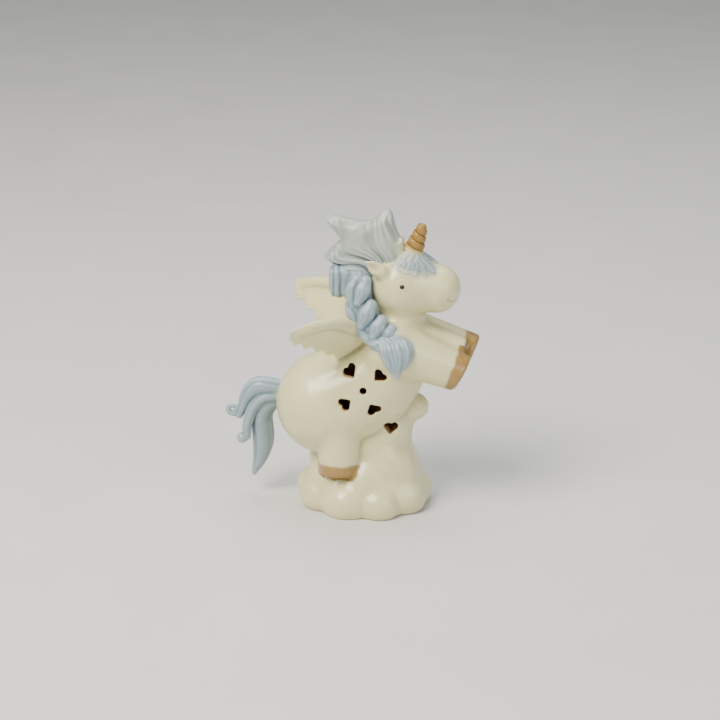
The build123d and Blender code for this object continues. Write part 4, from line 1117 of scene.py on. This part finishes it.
def face_lines(side):
    """The carved lines of one side of the face, laid on the head's surface."""
    lines = []
    for depth, width, places in FACE_LINES:
        path = smooth_path([(x, side * FACE_START, z) for x, z in places], FACE_LINE_STEPS)
        for _ in range(FACE_TRIES):
            path[:, 1] -= side * brow(*path.T)
        lines.append((depth, width, path))
    return lines


def carved(surface, values, lines):
    """Splits the faces round some lines more finely and presses the lines in."""
    points, faces, normals = surface
    middles = points[faces].mean(axis=1)
    close = np.zeros(len(faces), bool)
    for *_, path in lines:
        low, high = bounds_of(path, FACE_MARGIN)
        close |= np.all((middles > low) & (middles < high), axis=1)
    keys = list(values)
    data = np.hstack([points, normals, *[values[key][:, None] for key in keys]])
    rest, dense = faces[~close], faces[close]
    for _ in range(2):
        base, count = len(data), len(dense)
        halves = 0.5 * (data[dense] + data[np.roll(dense, -1, axis=1)])
        added = np.vstack([halves.reshape(-1, data.shape[1]), data[dense].mean(axis=1)])
        _, first, place = np.unique(np.round(added[:, :3] * 1e4).astype(np.int64), axis=0,
                                    return_index=True, return_inverse=True)
        place = base + place.ravel()
        data = np.vstack([data, added[first]])
        half, centre = place[:4 * count].reshape(count, 4), place[4 * count:]
        dense = np.concatenate([
            np.stack([dense[:, i], half[:, i], centre, half[:, i - 1]], axis=1)
            for i in range(4)
        ])
    points, normals = data[:, :3], data[:, 3:6]
    values = {key: data[:, 6 + i] for i, key in enumerate(keys)}
    moved = np.unique(dense)
    for depth, width, path in lines:
        gaps = points[moved][:, None, :] - path[None, :, :]
        nearest = np.argmin((gaps ** 2).sum(axis=2), axis=1)
        gap = gaps[np.arange(len(moved)), nearest]
        press = depth * np.exp(-(gap ** 2).sum(axis=1) / width ** 2)[:, None]
        # Pooled glaze and painted shade in the carved line
        values["pool"][moved] += FACE_POOL_SHADE * press[:, 0]
        points[moved] -= press * normals[moved]
        normals[moved] -= 2 * press * gap / width ** 2
    normals /= np.linalg.norm(normals, axis=1)[:, None]
    return (points, np.concatenate([rest, dense]), normals), values


def gild_hooves(points, labels):
    """The gold on points near the hooves, and the labels with the hooves parted off."""
    gilt = np.zeros(len(points))
    for name, (start, end, _, radius) in leg_lines().items():
        way = (end - start) / np.linalg.norm(end - start)
        along = (points - end) @ way
        off = np.linalg.norm(points - end - along[:, None] * way, axis=1)
        near = (along > HOOF_ZONE[0]) & (along < HOOF_ZONE[1])
        wave = GILT_WAVER * np.sin(0.5 * points[:, 0] + 0.4 * points[:, 2] + 0.6 * points[:, 1])
        band = np.clip((along + GILT_BAND + wave) / GILT_EDGE, 0, 1)
        mine = near & (labels != INDEX["cloud_base"]) & (off < radius + HOOF_MARGIN)
        gilt = np.where(mine, np.maximum(gilt, band), gilt)
        hoof = name.replace("foreleg", "fore_hoof").replace("hind_leg", "hind_hoof")
        owned = mine & (labels == INDEX[name]) & (along > -GILT_BAND)
        labels = np.where(owned, INDEX[hoof], labels)
    return gilt * GILT_COVER, labels


def sprayed_mist(points, names):
    """How much blue overspray falls on points that lie close to these pieces of hair."""
    mist = np.zeros(len(points))
    for name in names:
        hair = bpy.data.objects[f"painted_{name}"].data
        places = vertex_vectors(hair, "co") / MM - (BASE_SHIFT, 0, 0)
        tree = KDTree(len(places))
        for i, place in enumerate(places):
            tree.insert(place, i)
        tree.balance()
        low, high = bounds_of(places, 4.0)
        for i in np.flatnonzero(np.all((points > low) & (points < high), axis=1)):
            gap = tree.find(points[i])[2]
            mist[i] = max(mist[i], MIST_COVER * max(0.0, 1 - gap / MIST_REACH) ** MIST_FALL)
    return mist


def white_roots(name, points):
    """Where the airbrushed blue fades out to the ivory slip."""
    gap = np.linalg.norm((points - HORN_FOOT) * (1, 0.6, 1), axis=1)
    root = fade(gap, *HORN_FADE)
    if name == "mane_crest":
        low, reach, strength = CREST_PALE
        pale = strength * np.clip((points[:, 2] - low) / reach, 0, 1)
        return np.maximum(pale, 0.8 * root)
    if name == "forelock":
        low = fade(brow(*points.T), 0, FORELOCK_FADE)
        return np.maximum(0.1 + 0.85 * low, 0.5 * root)
    if name == "tail":
        gap = np.linalg.norm(points - TAIL_ROOT, axis=1)
        return 0.5 * fade(gap, *TAIL_FADE)
    return np.zeros(len(points))


# Operators

class FIGURINE_OT_cast_body(bpy.types.Operator):
    """Casts the ivory body, limbs, head, wings and cloud, and brushes gold on the hooves"""

    bl_idname = "figurine.cast_body"
    bl_label = "Cast the body"

    def execute(self, context):
        sizes, colours = context.scene.sculpt_sizes, context.scene.glaze_colours
        clay, whole_cast = cast_clay(sizes)
        points, faces, normals = clay.skin()
        # The bare inner side of the wall, painted dark tan as its shade, is what lies deep in the
        # cast as it was when solid
        depth = -clay.sample(whole_cast, points)
        inside = np.clip((depth - INSIDE_SHADE_FROM) / INSIDE_SHADE_OVER, 0, 1)
        at = np.clip(((points - clay.low) / clay.grain).round().astype(int), 0,
                     np.array(clay.label.shape) - 1)
        labels = clay.label[tuple(at.T)]
        wing = np.isin(labels, [INDEX["right_wing"], INDEX["left_wing"]])
        # Pooled glaze and painted shade in the hollows, much stronger on the wings
        pool = sum(np.where(wing, on_wing, on_body) * hollow for on_wing, on_body, hollow
                   in zip(WING_POOL_SHADE, BODY_POOL_SHADE, hollows(points, faces, normals)))
        gilt, labels = gild_hooves(points, labels)
        mist = sprayed_mist(points, ("forelock", "braid"))
        attributes = {"pool": pool, "gilt": gilt, "mist": mist, "inside": inside}
        face_labels = labels[faces[:, 0]]
        for i, name in enumerate(LABELS):
            chosen = faces[face_labels == i]
            if not len(chosen):
                raise RuntimeError(f"no clay is left for {name}")
            surface, values = (points, chosen, normals), attributes
            if name == "head":
                surface, values = carved(surface, values, face_lines(-1) + face_lines(1))
            make_piece(f"glazed_{name}", surface, values, name, ivory_glaze(colours))
        return {"FINISHED"}


class FIGURINE_OT_model_hair(bpy.types.Operator):
    """Models the mane, forelock, braid and tail in locks with combed grooves"""

    bl_idname = "figurine.model_hair"
    bl_label = "Model the hair"

    def execute(self, context):
        sizes, colours = context.scene.sculpt_sizes, context.scene.glaze_colours
        for name in HAIR_BOXES:
            clay = hair_clay(name, sizes)
            points, faces, normals = clay.skin()
            if not len(faces):
                raise RuntimeError(f"no clay is left for {name}")
            fine, broad = hollows(points, faces, normals)
            if name == "forelock":
                # Its tips melt into the brow, so there they take the brow's own slope
                sunk = np.clip(brow(*points.T) / 0.8, 0, 1)[:, None]
                slope = slope_of(lambda at: brow(*at.T), points, 0.1)
                normals = normals * sunk + slope * (1 - sunk)
                normals /= np.linalg.norm(normals, axis=1)[:, None]
            # Pooled blue and painted shade in the grooves
            strength = CREST_POOL_SHADE if name == "mane_crest" else HAIR_POOL_SHADE
            attributes = {"pool": strength * fine + 0.4 * broad,
                          "mist": white_roots(name, points)}
            make_piece(f"painted_{name}", (points, faces, normals), attributes, name,
                       blue_glaze(colours))
        return {"FINISHED"}


class FIGURINE_OT_paint_eyes(bpy.types.Operator):
    """Sets the two black glaze dots into the sides of the head"""

    bl_idname = "figurine.paint_eyes"
    bl_label = "Paint the eyes"

    def execute(self, context):
        sizes, colours = context.scene.sculpt_sizes, context.scene.glaze_colours
        radius = sizes.eye_radius / MM
        for side, name in SIDES:
            at = np.array(EYE) * (1, side, 1)
            box = (at - EYE_BOX, at + EYE_BOX)
            clay = Clay(*box, EYE_GRAIN)
            clay.add(egg(at, (radius, EYE_FLATNESS * radius, radius)), *box, 0)
            surface = clay.skin()
            make_piece(f"glazed_{name}_eye", surface, {"pool": np.zeros(len(surface[0]))},
                       f"{name}_eye", eye_glaze(colours))
        return {"FINISHED"}


class FIGURINE_OT_turn_horn(bpy.types.Operator):
    """Winds the horn's tapering spiral round its core"""

    bl_idname = "figurine.turn_horn"
    bl_label = "Turn the horn"

    def execute(self, context):
        sizes, colours = context.scene.sculpt_sizes, context.scene.glaze_colours
        material = gilt_glaze(colours)
        straight = sizes.horn_length - sizes.horn_tip
        mesh = wound_mesh(material, {
            "Base radius": sizes.horn_base, "Tip radius": sizes.horn_tip, "Rise": straight,
            "Turns": sizes.horn_turns, "Bead radius": BEAD_SHARE * straight / sizes.horn_turns,
        })
        points, outward = vertex_vectors(mesh, "co") / MM, vertex_vectors(mesh, "normal")
        mesh.calc_loop_triangles()
        faces = np.array([triangle.vertices[:] for triangle in mesh.loop_triangles])
        # Painted shade: the gilt is darker in the crease, where a point lies close to the core
        height = points[:, 2]
        core = sizes.horn_base + (sizes.horn_tip - sizes.horn_base) * np.clip(
            height * MM / straight, 0, 1)
        excess = np.hypot(points[:, 0], points[:, 1]) - core / MM
        crease = np.where(height < straight / MM, fade(excess, 0, CREASE_REACH), 0)
        attributes = {"pool": CREASE_POOL_SHADE * crease - RIDGE_RUB_HIGHLIGHT,
                      "mist": COLLAR_COVER * fade(height, *COLLAR_FADE)}
        lean = radians(HORN_LEAN)
        turn = np.array(((cos(lean), 0, sin(lean)), (0, 1, 0), (-sin(lean), 0, cos(lean))))
        make_piece("gilded_horn", (points @ turn.T + HORN_ROOT, faces, outward @ turn.T),
                   attributes, "horn", material)
        bpy.data.meshes.remove(mesh)
        return {"FINISHED"}


def wound_mesh(material, sizes):
    """A tapering core with a bead wound up it, made by geometry nodes from named sizes."""
    tree = bpy.data.node_groups.new("wound_horn", "GeometryNodeTree")
    tree.interface.new_socket("Geometry", in_out="INPUT", socket_type="NodeSocketGeometry")
    sockets = {name: tree.interface.new_socket(
        name, in_out="INPUT", socket_type="NodeSocketFloat").identifier for name in sizes}
    tree.interface.new_socket("Geometry", in_out="OUTPUT", socket_type="NodeSocketGeometry")
    add = partial(add_node, tree)
    size = add("NodeGroupInput").outputs
    core = add("GeometryNodeMeshCone", {"fill_type": "NONE"}, Vertices=HORN_SIDES,
               Side_Segments=24, Radius_Top=size["Tip radius"], Radius_Bottom=size["Base radius"],
               Depth=size["Rise"])
    ball_end = add("GeometryNodeMeshUVSphere", Segments=TIP_SIDES, Rings=TIP_SIDES // 2,
                   Radius=size["Tip radius"])
    top = add("ShaderNodeCombineXYZ", Z=size["Rise"])
    cap = add("GeometryNodeTransform", Geometry=ball_end.outputs["Mesh"],
              Translation=top.outputs[0])
    spiral = add("GeometryNodeCurveSpiral", Resolution=HORN_SIDES, Rotations=size["Turns"],
                 Start_Radius=size["Base radius"], End_Radius=size["Tip radius"],
                 Height=size["Rise"])
    upright = add("GeometryNodeSetCurveNormal", {"mode": "Z_UP"}, Curve=spiral.outputs[0])
    ring = add("GeometryNodeCurvePrimitiveCircle", Resolution=20, Radius=size["Bead radius"])
    flat = add("GeometryNodeTransform", Geometry=ring.outputs[0], Scale=(BEAD_FLATNESS, 1.0, 1.0))
    bead = add("GeometryNodeCurveToMesh", Curve=upright.outputs[0],
               Profile_Curve=flat.outputs[0], Fill_Caps=True)
    joined = add("GeometryNodeJoinGeometry")
    for node in (core, cap, bead):
        tree.links.new(node.outputs[0], joined.inputs[0])
    real = add("GeometryNodeRealizeInstances", Geometry=joined.outputs[0])
    painted = add("GeometryNodeSetMaterial", Geometry=real.outputs[0], Material=material)
    add("NodeGroupOutput", Geometry=painted.outputs[0])
    form = bpy.data.meshes.new("horn_form")
    holder = bpy.data.objects.new("horn_form", form)
    bpy.context.scene.collection.objects.link(holder)
    modifier = holder.modifiers.new("wound_horn", "NODES")
    modifier.node_group = tree
    for name, value in sizes.items():
        modifier[sockets[name]] = value
    evaluated = holder.evaluated_get(bpy.context.evaluated_depsgraph_get())
    mesh = bpy.data.meshes.new_from_object(evaluated)
    holder.modifiers.remove(modifier)
    bpy.data.objects.remove(holder)
    bpy.data.meshes.remove(form)
    return mesh


class FIGURINE_OT_finish_light(bpy.types.Operator):
    """Gives every piece of the plug-in light its moulded, stamped or plated finish"""

    bl_idname = "figurine.finish_light"
    bl_label = "Finish the light"

    def execute(self, context):
        for name, tint, *finish, nodes in LIGHT_FINISHES:
            material = moulded(name, getattr(context.scene.glaze_colours, tint), *finish)
            for node in nodes:
                materials = frame["nodes"][node].data.materials
                materials.clear()
                materials.append(material)
        return {"FINISHED"}


class FIGURINE_OT_set_stage(bpy.types.Operator):
    """Sets the pale floor, the soft lights and the camera at the photograph's angle"""

    bl_idname = "figurine.set_stage"
    bl_label = "Set the stage"

    def execute(self, context):
        scene = context.scene
        mesh = bpy.data.meshes.new("studio_floor")
        corners = [(x * FLOOR_REACH, y * FLOOR_REACH, 0)
                   for x, y in ((-1, -1), (1, -1), (1, 1), (-1, 1))]
        mesh.from_pydata(corners, [], [(0, 1, 2, 3)])
        floor = bpy.data.objects.new("studio_floor", mesh)
        scene.collection.objects.link(floor)
        # Pale matt paper, its tone drifting too slowly to show as a pattern
        mesh.materials.append(
            moulded("matt_studio_paper", scene.glaze_colours.floor, 0.85, 0.0, 60.0, 0.0))
        scene.world = bpy.data.worlds.new("studio")
        scene.world.use_nodes = True
        background = scene.world.node_tree.nodes["Background"].inputs
        background[0].default_value, background[1].default_value = hex_colour(ROOM_TINT), ROOM_LIGHT
        for name, place, size, power, tint in LIGHTS:
            light = bpy.data.lights.new(name, "AREA")
            light.size, light.energy, light.color = size, power, hex_colour(tint)[:3]
            lamp = bpy.data.objects.new(name, light)
            lamp.location = place
            aim = Vector((BASE_SHIFT * MM, 0, LIGHT_AIM)) - lamp.location
            lamp.rotation_euler = aim.to_track_quat("-Z", "Y").to_euler()
            scene.collection.objects.link(lamp)
        camera = bpy.data.cameras.new("studio_camera")
        camera.sensor_width, camera.lens = CAMERA_FILM, CAMERA_LENS
        eye = bpy.data.objects.new("studio_camera", camera)
        turn, drop = radians(CAMERA_TURN), radians(CAMERA_DROP)
        back = Vector((sin(turn) * cos(drop), -cos(turn) * cos(drop), sin(drop)))
        aim = Vector(((BASE_SHIFT + CAMERA_AIM[0]) * MM, 0, CAMERA_AIM[1] * MM))
        eye.location = aim + back * CAMERA_REACH * MM
        eye.rotation_euler = (-back).to_track_quat("-Z", "Y").to_euler()
        scene.collection.objects.link(eye)
        scene.camera = eye
        return {"FINISHED"}


class FIGURINE_PT_bench(bpy.types.Panel):
    """Lists the steps that make the night light, in order"""

    bl_idname = "FIGURINE_PT_bench"
    bl_label = "Night light"
    bl_space_type = "VIEW_3D"
    bl_region_type = "UI"
    bl_category = "Night light"

    def draw(self, context):
        for step in STEPS:
            self.layout.operator(step.bl_idname, text=step.bl_label)


STEPS = (
    FIGURINE_OT_model_hair,
    FIGURINE_OT_cast_body,
    FIGURINE_OT_paint_eyes,
    FIGURINE_OT_turn_horn,
    FIGURINE_OT_finish_light,
    FIGURINE_OT_set_stage,
)
CLASSES = (SculptSizes, GlazeColours, *STEPS, FIGURINE_PT_bench)


def register():
    """Registers the classes and hangs the two property groups on the scene."""
    for item in CLASSES:
        bpy.utils.register_class(item)
    bpy.types.Scene.sculpt_sizes = PointerProperty(type=SculptSizes)
    bpy.types.Scene.glaze_colours = PointerProperty(type=GlazeColours)


def unregister():
    """Takes the property groups and the classes away again."""
    del bpy.types.Scene.glaze_colours
    del bpy.types.Scene.sculpt_sizes
    for item in reversed(CLASSES):
        bpy.utils.unregister_class(item)


def main():
    """Makes every piece."""
    register()
    for step in STEPS:
        group, name = step.bl_idname.split(".")
        getattr(getattr(bpy.ops, group), name)()


if __name__ == "__main__":
    main()
